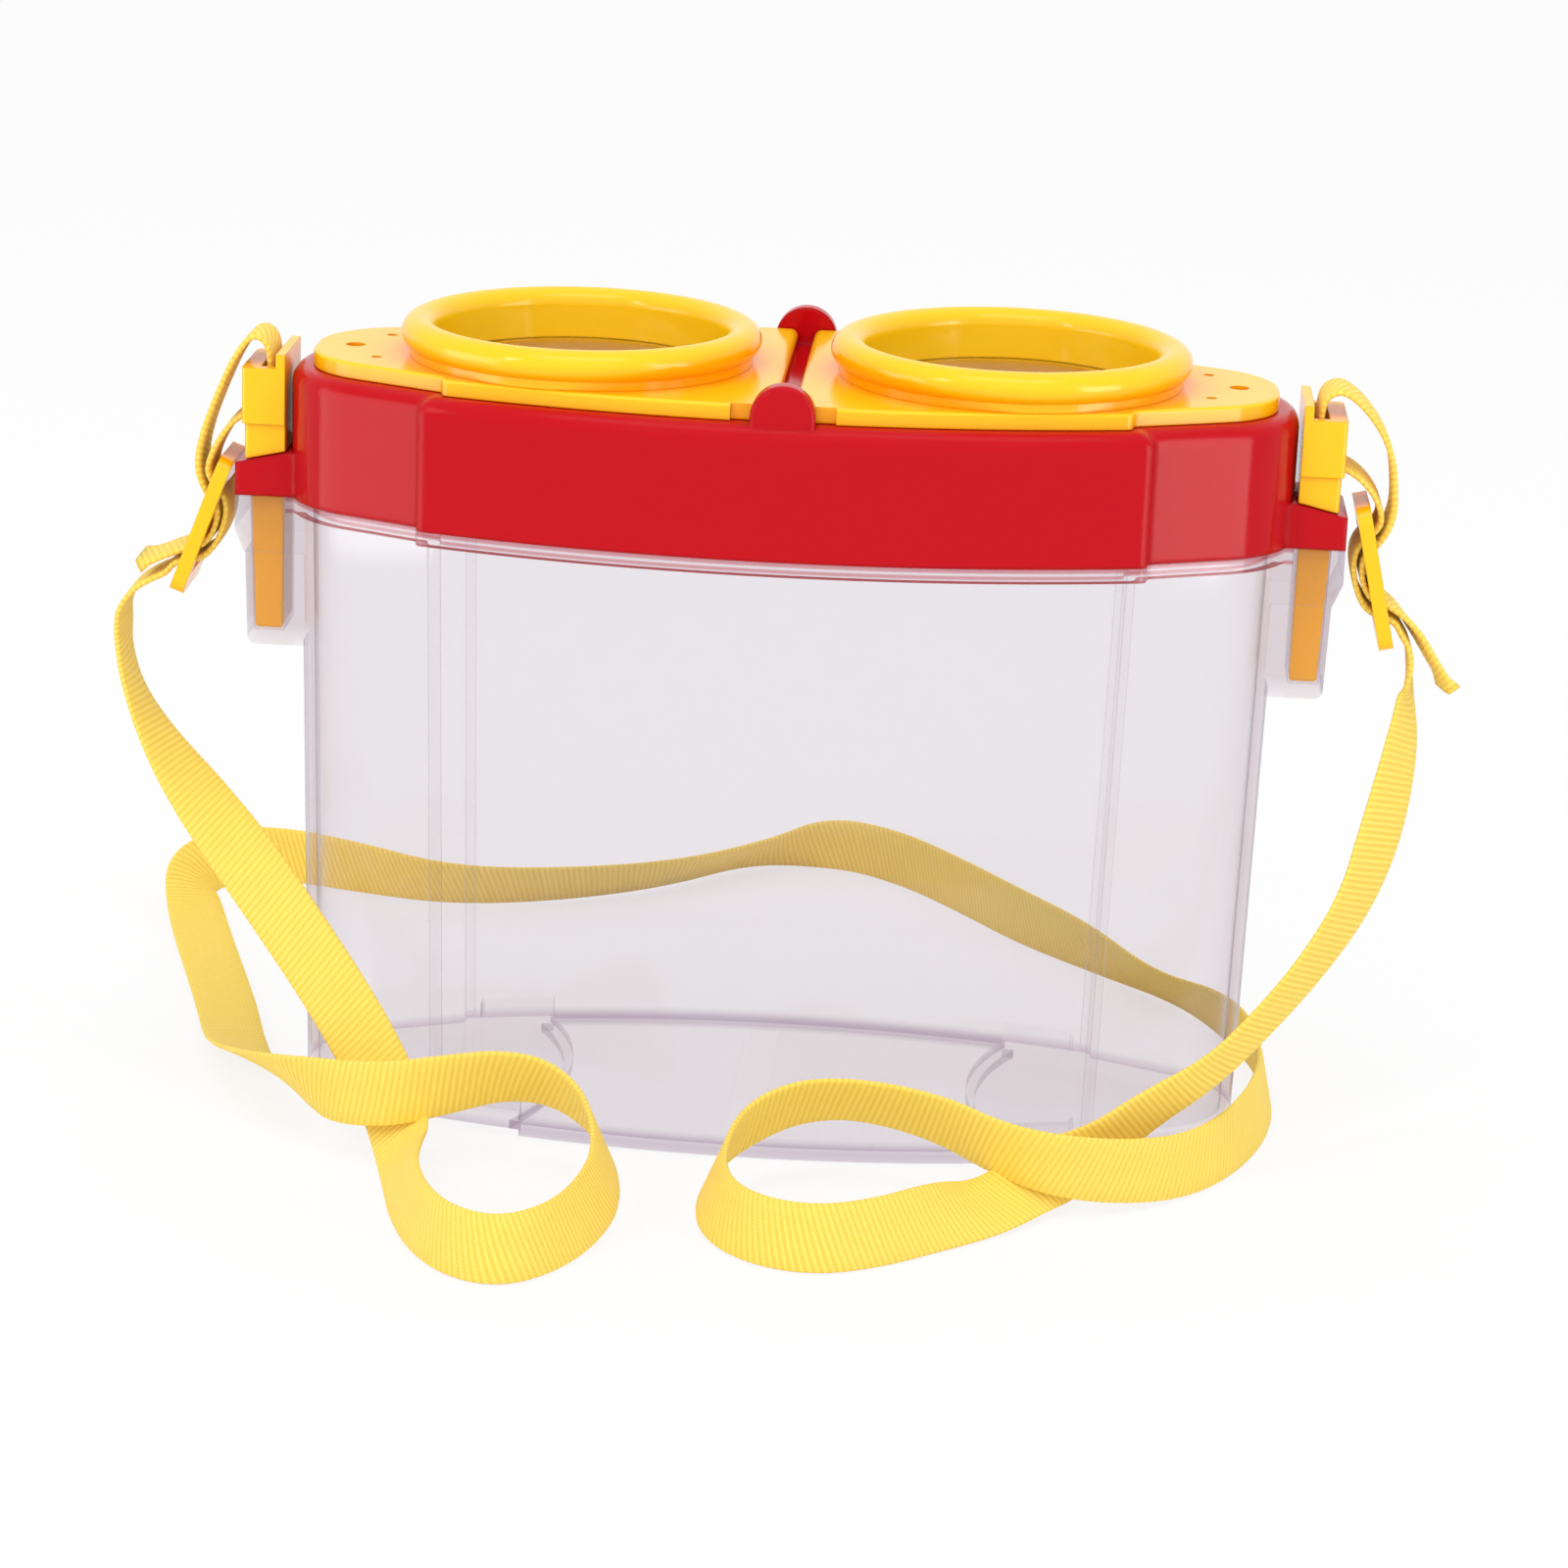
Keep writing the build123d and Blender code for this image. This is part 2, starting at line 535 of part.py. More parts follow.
def strap_solid(name, planes, radii):
    """Strap webbing through the planes, exported and reported under a name."""
    with BuildPart() as stretch:
        for plane in planes:
            with BuildSketch(plane):
                Rectangle(STRAP_WIDTH, STRAP_THICK)
        loft(ruled=True)
    stretch.part.label = name
    export_step(stretch.part, f"parts/{name}.step")
    length = sum((b.origin - a.origin).length for a, b in zip(planes, planes[1:]))
    ratio = stretch.part.volume / (STRAP_WIDTH * STRAP_THICK * length)
    print(f"{name}: length {length:.1f} mm, smallest radius {min(radii):.2f} mm, volume ratio {ratio:.3f}")


slider_width = 2 * (STRAP_SLOT_HALF + SLIDER_RAIL)
slider_length = SLIDER_BAR + 2 * (SLIDER_SLOT + SLIDER_END)

for end in (-1, 1):
    tilt = radians(SLIDER_TILT[end])
    slider_x, slider_z = SLIDER_CENTRE[end]
    face_plane = Plane((end * slider_x, 0, slider_z), x_dir=(0, 1, 0), z_dir=(end * cos(tilt), 0, sin(tilt)))
    with BuildPart() as slider:
        with BuildSketch(face_plane):
            RectangleRounded(slider_width, slider_length, SLIDER_CORNER)
            slot_middle = (SLIDER_BAR + SLIDER_SLOT) / 2
            with Locations((0, -slot_middle), (0, slot_middle)):
                Rectangle(2 * STRAP_SLOT_HALF, SLIDER_SLOT, mode=Mode.SUBTRACT)
        extrude(amount=SLIDER_THICK / 2, both=True)
    slider.part.label = f"{hand(end)}_slider"
    export_step(slider.part, f"parts/{hand(end)}_slider.step")

    # Strap end: up through the slider, round the crossbar and back to the tail
    lower = [on_slider(end, along, out) for along, out in LOWER_PASS]
    upper = [on_slider(end, along, out) for along, out in UPPER_PASS]
    strands = [HANG_TOP[end]] + UNDER_STRAND[end] + lower + LATCH_BEND[end]
    strands += OVER_STRAND[end] + upper + TAIL[end]
    planes, radii = strap_planes([((end * x, 0, z), (0, -1, 0)) for x, z in strands])
    strap_solid(f"strap_{hand(end)}_end", sum(planes, []), radii)


# Free strap from the left slider to the right one: centre of the strap, then the way its edge points
LEFT_HANG = [
    ((-102.5, 0.0, 71.6), (0, -1, 0)),
    ((-102.5, 0.0, 68.2), (0, -1, 0)),
    ((-100.6, -2.2, 62.4), (0.2, -0.9, 0.2)),
    ((-95.6, -6.2, 55.4), (0.4, -0.7, 0.4)),
    ((-88.4, -11.4, 48.0), (0.5, -0.4, 0.6)),
    ((-80.4, -16.6, 39.6), (0.55, -0.2, 0.75)),
    ((-72.6, -21.4, 30.4), (0.6, -0.1, 0.75)),
    ((-65.6, -25.4, 21.6), (0.6, -0.1, 0.75)),
    ((-59.8, -28.8, 13.2), (0.7, -0.1, 0.6)),
]
FLOOR_ROUTE = [
    ((-55.8, -33.2, 6.4), (0.85, 0, 0.4)),
    ((-53.6, -40.5, 2.2), (1, 0, 0.1)),
    ((-52.0, -50.0, 1.0), (1, 0, 0.03)),
    ((-50.4, -60.5, 2.1), (0.95, 0.1, 0.3)),
    ((-46.6, -70.6, 4.6), (0.55, 0.2, 0.8)),
    ((-40.8, -78.2, 5.1), (0.1, 0.1, 1)),
    ((-33.0, -81.2, 5.0), (0, 0, 1)),
    ((-26.2, -75.4, 5.0), (0, 0, 1)),
    ((-21.8, -65.0, 5.2), (0, 0, 1)),
    ((-19.8, -53.2, 6.4), (0, 0, 1)),
    ((-22.6, -43.0, 9.4), (0, 0, 1)),
    ((-29.6, -38.2, 11.8), (0, 0, 1)),
    ((-37.6, -37.4, 12.6), (0, 0, 1)),
    ((-46.0, -38.8, 12.2), (0, 0, 1)),
    ((-54.6, -40.4, 11.4), (0, 0, 1)),
    ((-63.6, -37.4, 10.2), (0, 0, 1)),
    ((-71.4, -30.0, 8.6), (-0.1, 0, 1)),
    ((-77.8, -19.0, 6.6), (-0.3, 0, 0.9)),
    ((-82.6, -6.6, 4.2), (-0.75, 0, 0.6)),
    ((-86.2, 7.0, 1.8), (-1, 0, 0.2)),
    ((-90.4, 23.4, 0.8), (-1, -0.2, 0.03)),
    ((-95.6, 41.0, 0.8), (-1, -0.25, 0.03)),
    ((-100.6, 57.6, 0.8), (-1, -0.2, 0.03)),
    ((-104.6, 71.6, 1.4), (-1, -0.1, 0.15)),
    ((-106.4, 81.4, 4.0), (-0.7, 0, 0.6)),
    ((-102.2, 89.2, 5.1), (-0.15, 0.1, 1)),
    ((-92.0, 92.0, 5.0), (0, 0, 1)),
    ((-78.6, 87.4, 5.0), (0, -0.2, 1)),
    ((-60.2, 82.4, 4.2), (0, -0.65, 0.75)),
    ((-40.0, 87.0, 2.8), (0.35, -0.83, 0.42)),
    ((-22.4, 98.6, 2.7), (0.56, -0.7, 0.38)),
    ((-8.6, 111.6, 4.5), (0.32, -0.51, 0.75)),
    ((4.6, 116.4, 5.1), (0, -0.15, 1)),
    ((16.4, 110.2, 5.0), (0, 0, 1)),
    ((27.4, 96.4, 5.0), (0, 0, 1)),
    ((38.2, 80.6, 5.0), (0, 0, 1)),
    ((51.0, 64.6, 5.1), (-0.2, -0.2, 1)),
    ((64.0, 48.2, 3.9), (-0.55, -0.45, 0.65)),
    ((74.6, 30.6, 5.1), (-0.2, -0.05, 1)),
    ((79.2, 12.0, 5.0), (0, 0, 1)),
    ((78.6, -5.6, 5.0), (0, 0, 1)),
    ((73.4, -22.4, 5.0), (0, 0, 1)),
    ((65.4, -34.8, 5.2), (0, 0, 1)),
    ((55.6, -42.6, 6.6), (0, 0, 1)),
    ((45.4, -47.2, 8.8), (0, 0, 1)),
    ((36.6, -46.0, 10.4), (0, 0, 1)),
    ((28.8, -40.4, 11.6), (0, 0, 1)),
    ((20.4, -37.4, 12.0), (0, 0, 1)),
    ((12.0, -36.6, 12.0), (0, 0, 1)),
    ((4.4, -38.0, 10.4), (0, 0, 1)),
    ((-2.0, -42.6, 7.6), (0, 0, 1)),
    ((-5.8, -51.6, 5.6), (0, 0, 1)),
    ((-4.4, -61.4, 5.0), (0, 0, 1)),
    ((2.0, -68.6, 5.0), (0, 0, 1)),
    ((11.2, -71.2, 5.0), (0, 0, 1)),
    ((20.4, -67.2, 5.1), (-0.1, 0.2, 1)),
    ((28.8, -60.2, 4.7), (-0.35, 0.35, 0.8)),
    ((36.4, -52.6, 2.6), (-0.6, 0.6, 0.4)),
    ((43.2, -45.0, 3.4), (-0.6, 0.6, 0.4)),
    ((50.4, -38.0, 7.2), (-0.5, 0.4, 0.75)),
    ((58.6, -32.4, 12.6), (-0.4, 0.1, 0.85)),
    ((66.8, -28.2, 18.4), (-0.45, -0.05, 0.85)),
]
RIGHT_HANG = [
    ((74.6, -25.0, 25.8), (-0.5, -0.1, 0.75)),
    ((81.6, -21.6, 33.6), (-0.5, -0.2, 0.7)),
    ((87.2, -17.6, 42.2), (-0.45, -0.35, 0.6)),
    ((91.2, -13.2, 51.0), (-0.35, -0.6, 0.4)),
    ((93.9, -8.2, 59.6), (-0.2, -0.8, 0.3)),
    ((95.3, -2.8, 66.4), (0, -0.95, 0.15)),
    ((95.3, 0.0, 70.6), (0, -1, 0)),
    ((95.3, 0.0, 74.0), (0, -1, 0)),
]


planes, radii = strap_planes(LEFT_HANG + FLOOR_ROUTE + RIGHT_HANG)
left_cut = len(LEFT_HANG) - 1
right_cut = len(LEFT_HANG) + len(FLOOR_ROUTE)
stretches = {
    "strap_left_hang": sum(planes[:left_cut], []) + planes[left_cut][:1],
    "strap_floor": planes[left_cut][:1] + sum(planes[left_cut:right_cut], [])[1:] + planes[right_cut][:1],
    "strap_right_hang": sum(planes[right_cut:], []),
}
for name, across in stretches.items():
    strap_solid(name, across, radii)
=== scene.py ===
# %% [markdown]
# # A bug catcher jar, dressed for the studio
# The solid model already says where every piece is and how it moves. This lesson gives that model its
# looks: clear moulded plastic, glossy red and yellow parts and a ribbed webbing strap. Everything is in
# metres, in the solid model's own frame, so no piece is ever fitted by eye.

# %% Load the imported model
import math

import bmesh
import bpy
from mathutils import Matrix, Vector


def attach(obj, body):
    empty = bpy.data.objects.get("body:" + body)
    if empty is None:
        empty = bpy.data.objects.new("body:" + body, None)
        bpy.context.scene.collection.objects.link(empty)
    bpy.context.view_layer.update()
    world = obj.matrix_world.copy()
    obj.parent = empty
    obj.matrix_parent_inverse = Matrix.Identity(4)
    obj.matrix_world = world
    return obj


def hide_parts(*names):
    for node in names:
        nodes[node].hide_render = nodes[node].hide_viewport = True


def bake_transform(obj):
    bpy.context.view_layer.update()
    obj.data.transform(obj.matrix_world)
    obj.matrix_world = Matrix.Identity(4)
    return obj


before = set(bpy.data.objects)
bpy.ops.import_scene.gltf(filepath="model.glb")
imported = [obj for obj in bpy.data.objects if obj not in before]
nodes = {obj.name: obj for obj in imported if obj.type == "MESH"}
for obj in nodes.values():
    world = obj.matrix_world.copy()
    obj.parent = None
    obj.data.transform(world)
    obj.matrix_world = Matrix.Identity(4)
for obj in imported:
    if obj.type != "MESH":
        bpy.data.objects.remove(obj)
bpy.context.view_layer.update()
MM = 0.001
print("solid pieces:", ", ".join(sorted(nodes)))

# %% [markdown]
# ## Camera
# A camera can be aimed with a constraint, but the photograph is turned a little about its own viewing
# line, and a constraint would keep it upright. So the three directions of the camera are written out
# from yaw, pitch and roll, and become the columns of its matrix.

# %% Place the camera
YAW, PITCH, ROLL = 0.051, 0.294, 0.039
AIM = Vector((0.0007, 0.0, 0.0510))
CAMERA_DISTANCE = 0.720
LENS_MM = 106.7

camera_back = Vector((math.sin(YAW) * math.cos(PITCH), -math.cos(YAW) * math.cos(PITCH), math.sin(PITCH)))
level_right = Vector((math.cos(YAW), math.sin(YAW), 0.0))
level_up = camera_back.cross(level_right)
camera_right = level_right * math.cos(ROLL) + level_up * math.sin(ROLL)
camera_up = level_up * math.cos(ROLL) - level_right * math.sin(ROLL)

camera_data = bpy.data.cameras.new("studio_camera")
camera_data.lens = LENS_MM
camera_data.sensor_width = 36.0
camera_data.clip_start = 0.01
camera = bpy.data.objects.new("studio_camera", camera_data)
turn = Matrix((camera_right, camera_up, camera_back)).transposed().to_4x4()
camera.matrix_world = Matrix.Translation(AIM + camera_back * CAMERA_DISTANCE) @ turn
bpy.context.collection.objects.link(camera)
bpy.context.scene.camera = camera
bpy.context.scene.view_settings.view_transform = "Standard"
print("camera at", tuple(round(c, 3) for c in camera.location))

# %% [markdown]
# ## Strap route
# The strap is one flat band of webbing. A band needs two things at every place: where its middle is and
# which way its edge points. Both are listed, in millimetres, for the free stretch and for the two ends that
# go round the latches. A smooth spline through control points lies like real webbing, while a path of
# straight runs and arcs looks like bent wire.

# %% Write the strap's route
STRAP_WIDTH = 10.0
SLIDER_CENTRE = {-1: (89.3, 88.8), 1: (88.7, 89.8)}
SLIDER_TILT = {-1: 20.4, 1: 13.1}
UNDER_STRAND = {-1: [(102.5, 74.6), (100.2, 78.0), (97.0, 79.9)], 1: [(95.3, 76.6), (94.8, 79.0)]}
LOWER_PASS = [(9.6, 2.6), (7.1, 1.9), (4.6, -2.95), (-4.6, -2.95), (-7.1, 1.9), (-9.4, 2.7)]
UPPER_PASS = [(-8.4, 4.3), (-5.2, 2.0), (-3.0, -1.75), (3.0, -1.75), (5.2, 2.0)]
LATCH_BEND = {
    -1: [(87.0, 102.0), (84.4, 105.6), (80.8, 107.0), (79.05, 109.2), (79.05, 114.2)],
    1: [(87.6, 102.9), (84.6, 105.7), (80.8, 106.9), (79.05, 109.2), (79.05, 114.2)],
}
OVER_STRAND = {
    -1: [(79.6, 117.6), (82.0, 118.6), (84.6, 115.0), (87.0, 109.6), (89.4, 103.2)],
    1: [(79.6, 117.2), (82.6, 118.2), (87.2, 114.0), (90.2, 108.6), (91.0, 102.6)],
}
TAIL = {-1: [(99.3, 81.6)], 1: [(95.6, 81.2), (98.6, 76.4), (101.4, 72.4)]}
TAIL_LEAN = {-1: 0.0, 1: 0.3}
LEFT_HANG = [
    ((-102.5, 0.0, 71.6), (0.05, 0.99, -0.12)),
    ((-102.5, -0.4, 68.2), (0.02, 0.97, -0.23)),
    ((-100.8, -2.2, 62.4), (0.14, 0.93, -0.35)),
    ((-96.0, -6.2, 55.4), (0.45, 0.87, -0.19)),
    ((-89.0, -11.4, 48.0), (0.68, 0.7, 0.2)),
    ((-80.6, -16.6, 39.6), (0.77, 0.4, 0.5)),
    ((-72.4, -21.4, 30.4), (0.79, 0.22, 0.58)),
    ((-65.0, -25.4, 21.6), (0.81, 0.21, 0.55)),
    ((-58.8, -29.2, 13.2), (0.89, 0.17, 0.42)),
]
FLOOR_ROUTE = [
    ((-54.4, -34.6, 6.6), (0.88, 0.1, 0.46)),
    ((-52.0, -42.6, 4.0), (0.74, 0.1, 0.66)),
    ((-50.8, -51.6, 4.8), (0.54, 0.05, 0.84)),
    ((-49.4, -61.8, 5.1), (0.34, 0.1, 0.93)),
    ((-45.8, -72.4, 5.1), (0.2, 0.2, 0.95)),
    ((-40.2, -80.2, 5.0), (0.06, 0.28, 0.95)),
    ((-32.8, -83.2, 5.1), (0, 0.3, 0.95)),
    ((-26.2, -77.4, 5.1), (-0.12, 0.24, 0.95)),
    ((-22.0, -66.4, 5.0), (-0.32, 0.12, 0.93)),
    ((-20.0, -54.6, 6.2), (-0.42, -0.05, 0.9)),
    ((-22.8, -43.8, 10.0), (-0.34, -0.26, 0.9)),
    ((-29.6, -38.2, 13.8), (-0.12, -0.46, 0.87)),
    ((-37.6, -37.4, 14.6), (0, -0.4, 0.91)),
    ((-46.0, -38.8, 13.0), (0, -0.15, 0.98)),
    ((-54.6, -40.4, 11.4), (0, 0.1, 0.99)),
    ((-63.6, -37.4, 10.2), (-0.1, 0.1, 0.99)),
    ((-71.4, -30.0, 9.2), (-0.5, -0.28, 0.8)),
    ((-77.8, -19.0, 7.2), (-0.7, -0.45, 0.52)),
    ((-82.6, -6.6, 4.4), (-0.9, -0.25, 0.3)),
    ((-86.4, 7.0, 1.9), (-1, -0.2, 0.1)),
    ((-90.4, 23.4, 0.8), (-1, -0.2, 0.03)),
    ((-95.6, 41.0, 0.8), (-1, -0.25, 0.03)),
    ((-100.6, 57.6, 0.8), (-1, -0.2, 0.03)),
    ((-104.6, 71.6, 1.4), (-1, -0.1, 0.15)),
    ((-107.4, 81.4, 4.2), (-0.7, 0, 0.6)),
    ((-102.2, 89.2, 5.3), (-0.15, 0.1, 1)),
    ((-92.0, 92.0, 5.2), (0, 0, 1)),
    ((-78.6, 86.6, 5.3), (0, -0.2, 1)),
    ((-60.2, 80.0, 4.9), (0, -0.54, 0.84)),
    ((-40.0, 86.0, 4.5), (0.25, -0.59, 0.77)),
    ((-22.4, 96.6, 4.2), (0.44, -0.57, 0.69)),
    ((-8.6, 112.0, 4.2), (0.42, -0.63, 0.65)),
    ((4.6, 116.4, 5.3), (0, -0.15, 1)),
    ((16.4, 110.2, 5.0), (0, 0, 1)),
    ((27.4, 96.4, 5.0), (0, 0, 1)),
    ((38.2, 80.6, 5.0), (0, 0, 1)),
    ((51.0, 64.6, 5.2), (-0.2, -0.2, 1)),
    ((64.0, 48.2, 4.2), (-0.55, -0.45, 0.65)),
    ((74.6, 30.6, 5.2), (-0.2, -0.05, 1)),
    ((78.4, 12.0, 5.1), (-0.2, 0, 0.98)),
    ((77.8, -5.6, 5.1), (-0.25, 0.05, 0.97)),
    ((72.8, -22.4, 5.1), (-0.18, 0.12, 0.98)),
    ((65.4, -34.8, 5.2), (-0.05, 0.1, 0.99)),
    ((55.6, -42.6, 6.6), (0, 0.05, 1)),
    ((45.4, -47.2, 8.8), (0, -0.1, 0.99)),
    ((36.6, -46.0, 10.6), (0.05, -0.3, 0.95)),
    ((28.8, -40.4, 12.2), (0.1, -0.45, 0.88)),
    ((20.4, -37.4, 13.2), (0.05, -0.52, 0.85)),
    ((12.0, -36.6, 13.6), (0, -0.56, 0.83)),
    ((4.4, -38.0, 12.4), (0.12, -0.45, 0.87)),
    ((-2.4, -42.6, 9.2), (0.3, -0.18, 0.93)),
    ((-5.4, -51.6, 6.2), (0.4, 0.03, 0.91)),
    ((-4.0, -61.4, 5.1), (0.35, 0.15, 0.92)),
    ((2.0, -69.2, 5.0), (0.15, 0.25, 0.95)),
    ((11.2, -72.0, 5.0), (0, 0.3, 0.95)),
    ((20.4, -67.6, 5.0), (-0.05, 0.32, 0.94)),
    ((29.0, -58.6, 4.6), (-0.3, 0.42, 0.82)),
    ((36.4, -50.0, 3.0), (-0.6, 0.62, 0.42)),
    ((43.0, -42.4, 4.8), (-0.56, 0.4, 0.6)),
    ((50.4, -38.0, 7.2), (-0.24, -0.33, 0.91)),
    ((58.6, -32.4, 12.6), (-0.17, -0.56, 0.81)),
    ((68.2, -28.2, 17.8), (-0.2, -0.7, 0.68)),
]
RIGHT_HANG = [
    ((75.8, -25.0, 25.4), (-0.29, -0.75, 0.59)),
    ((82.6, -21.6, 33.4), (-0.35, -0.73, 0.58)),
    ((88.4, -17.6, 42.2), (-0.46, -0.68, 0.56)),
    ((91.6, -13.2, 51.0), (-0.62, -0.59, 0.52)),
    ((93.9, -8.2, 59.6), (-0.56, -0.62, 0.55)),
    ((95.3, -2.8, 66.4), (-0.42, -0.7, 0.58)),
    ((95.3, 0.0, 70.6), (-0.25, -0.91, 0.33)),
    ((95.3, 0.0, 74.0), (-0.05, -1, 0)),
]


def on_slider(end, along, out):
    """A place on a tilted slider, as distance from the jar's middle and height."""
    tilt = math.radians(SLIDER_TILT[end])
    x, z = SLIDER_CENTRE[end]
    outward = x + along * math.sin(tilt) + out * math.cos(tilt)
    height = z - along * math.cos(tilt) + out * math.sin(tilt)
    return outward, height


def end_route(end):
    """From the hanging strand up through the slider, round the latch and down to the tail."""
    lower = [on_slider(end, *place) for place in LOWER_PASS]
    upper = [on_slider(end, *place) for place in UPPER_PASS]
    threaded = UNDER_STRAND[end] + lower + LATCH_BEND[end] + OVER_STRAND[end] + upper
    held = [((end * x, 0.0, z), (0, -end, 0)) for x, z in threaded]
    return held + [((end * x, 0.0, z), (0, -end, TAIL_LEAN[end])) for x, z in TAIL[end]]


strap_route = end_route(-1)[::-1] + LEFT_HANG + FLOOR_ROUTE + RIGHT_HANG + end_route(1)
print("strap route has", len(strap_route), "places")

# %% [markdown]
# ## Reading the spline
# Blender can bevel a curve into a band, but its twist is then an angle at each point, which is hard to
# judge by eye. So two splines are made from the same route, one for the middle of the band and one for its
# edge. Turned into meshes they give matching points, and the step from one to the other is the way the
# band lies there.

# %% Turn the route into matching points
SPLINE_STEPS = 8


def spline_points(name, places):
    """Points along a smooth spline that has these places as its control points."""
    curve = bpy.data.curves.new(name, "CURVE")
    curve.dimensions = "3D"
    curve.resolution_u = SPLINE_STEPS
    spline = curve.splines.new("NURBS")
    spline.points.add(len(places) - 1)
    for point, place in zip(spline.points, places):
        point.co = (*place, 1.0)
    spline.order_u = 3
    spline.use_endpoint_u = True
    holder = bpy.data.objects.new(name, curve)
    bpy.context.collection.objects.link(holder)
    bpy.context.view_layer.update()
    line = bpy.data.meshes.new_from_object(holder.evaluated_get(bpy.context.evaluated_depsgraph_get()))
    points = [v.co.copy() for v in line.vertices]
    bpy.data.objects.remove(holder)
    bpy.data.curves.remove(curve)
    bpy.data.meshes.remove(line)
    return points


middle_places = [Vector(place) * MM for place, edge in strap_route]
edge_places = [
    (Vector(place) + Vector(edge).normalized() * STRAP_WIDTH / 2) * MM
    for place, edge in strap_route
]
strap_middle = spline_points("strap_middle_line", middle_places)
strap_edge = spline_points("strap_edge_line", edge_places)

strap_frames = []
travelled = 0.0
for i, here in enumerate(strap_middle):
    before = strap_middle[max(i - 1, 0)]
    after = strap_middle[min(i + 1, len(strap_middle) - 1)]
    heading = (after - before).normalized()
    across = strap_edge[i] - here
    across = (across - heading * across.dot(heading)).normalized()
    travelled += (here - before).length
    strap_frames.append((here, across, heading.cross(across), travelled))
strap_length = travelled
print(f"strap is {strap_length / MM:.0f} mm long, read at {len(strap_frames)} points")

# %% [markdown]
# ## Strap webbing
# Narrow webbing has flat faces, rounded selvedges and cut ends that are sealed with heat into a small
# bead. The cross-section is walked along the frames from the last cell, one ring of corners at each
# frame. A thin plane with a Solidify modifier could be a band too, but with square edges. Only the two
# sealed ends are closed. Where pieces meet they stay open, because a closing face there would bend the
# shading and show as a dark seam.

# %% Define a piece of strap
HALF_SECTION = [
    (-5.0, 0.0), (-4.9, 0.26), (-4.6, 0.42), (-2.4, 0.45),
    (0.0, 0.45), (2.4, 0.45), (4.6, 0.42), (4.9, 0.26),
]
SECTION = HALF_SECTION + [(-across, -up) for across, up in HALF_SECTION]
SEAL_REACH = 0.0012
SEAL_SWELL = 1.6


def strap_piece(name, first, last):
    """Webbing from one frame to another, with its length and width kept as texture coordinates."""
    mesh = bpy.data.meshes.new(name)
    maker = bmesh.new()
    weave = maker.loops.layers.uv.new("weave")
    rings = []
    for centre, across, face, along in strap_frames[first : last + 1]:
        from_end = min(along, strap_length - along)
        swell = 1.0 + SEAL_SWELL * math.exp(-((from_end / SEAL_REACH) ** 2))
        ring = [centre + across * (w * MM) + face * (t * MM * swell) for w, t in SECTION]
        rings.append(([maker.verts.new(corner) for corner in ring], along))
    count = len(SECTION)
    for (ring, along), (next_ring, next_along) in zip(rings, rings[1:]):
        for k in range(count):
            n = (k + 1) % count
            wall = maker.faces.new((ring[k], ring[n], next_ring[n], next_ring[k]))
            wall.smooth = True
            corners = ((along, k), (along, n), (next_along, n), (next_along, k))
            for loop, (u, side) in zip(wall.loops, corners):
                loop[weave].uv = (u / MM, SECTION[side][0])
    for ring, along in (rings[0], rings[-1]):
        if min(along, strap_length - along) < SEAL_REACH:
            maker.faces.new(ring)
    bmesh.ops.recalc_face_normals(maker, faces=maker.faces)
    maker.to_mesh(mesh)
    maker.free()
    piece = bpy.data.objects.new(name, mesh)
    bpy.context.collection.objects.link(piece)
    return piece


print("webbing section has", len(SECTION), "corners")

# %% [markdown]
# ## Cutting the strap
# The strap is one band, but its ends lift with the latches while the rest stays on the table. So it is
# made in seven pieces that meet end to end. The cuts lie just under the sliders, partway down the hanging
# stretches and in the two loops in front of the jar, and each is given by the place it is near.

# %% Cut the strap into pieces
CUT_PLACES = {
    "left_slider": (-97.6, 0.0, 79.4),
    "left_drop": (-74.6, -20.2, 32.8),
    "left_loop": (-33.0, -81.2, 5.0),
    "right_loop": (12.0, -36.6, 12.0),
    "right_drop": (74.6, -25.0, 25.8),
    "right_slider": (94.8, 0.0, 79.0),
}


def nearest_frame(place):
    """Index of the strap frame that lies nearest to a place given in millimetres."""
    target = Vector(place) * MM
    return min(range(len(strap_frames)), key=lambda i: (strap_frames[i][0] - target).length)


cuts = {name: nearest_frame(place) for name, place in CUT_PLACES.items()}
last_frame = len(strap_frames) - 1
strap_stretches = {
    "strap_left_threading": (0, cuts["left_slider"]),
    "strap_left_drop": (cuts["left_slider"], cuts["left_drop"]),
    "strap_front_left": (cuts["left_drop"], cuts["left_loop"]),
    "strap_round_jar": (cuts["left_loop"], cuts["right_loop"]),
    "strap_front_right": (cuts["right_loop"], cuts["right_drop"]),
    "strap_right_drop": (cuts["right_drop"], cuts["right_slider"]),
    "strap_right_threading": (cuts["right_slider"], last_frame),
}
strap_pieces = {name: strap_piece(name, *ends) for name, ends in strap_stretches.items()}
print("strap pieces:", {name: len(piece.data.polygons) for name, piece in strap_pieces.items()})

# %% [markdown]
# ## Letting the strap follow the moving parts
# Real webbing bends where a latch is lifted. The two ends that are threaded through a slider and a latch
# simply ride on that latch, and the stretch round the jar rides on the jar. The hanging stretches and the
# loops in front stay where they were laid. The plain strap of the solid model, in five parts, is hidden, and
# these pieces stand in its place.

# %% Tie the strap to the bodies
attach(strap_pieces["strap_left_threading"], "left_latch")
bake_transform(strap_pieces["strap_left_drop"])
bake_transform(strap_pieces["strap_front_left"])
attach(strap_pieces["strap_round_jar"], "jar")
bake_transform(strap_pieces["strap_front_right"])
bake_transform(strap_pieces["strap_right_drop"])
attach(strap_pieces["strap_right_threading"], "right_latch")

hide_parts("strap_left_end")
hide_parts("strap_left_hang")
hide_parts("strap_floor")
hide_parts("strap_right_hang")
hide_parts("strap_right_end")
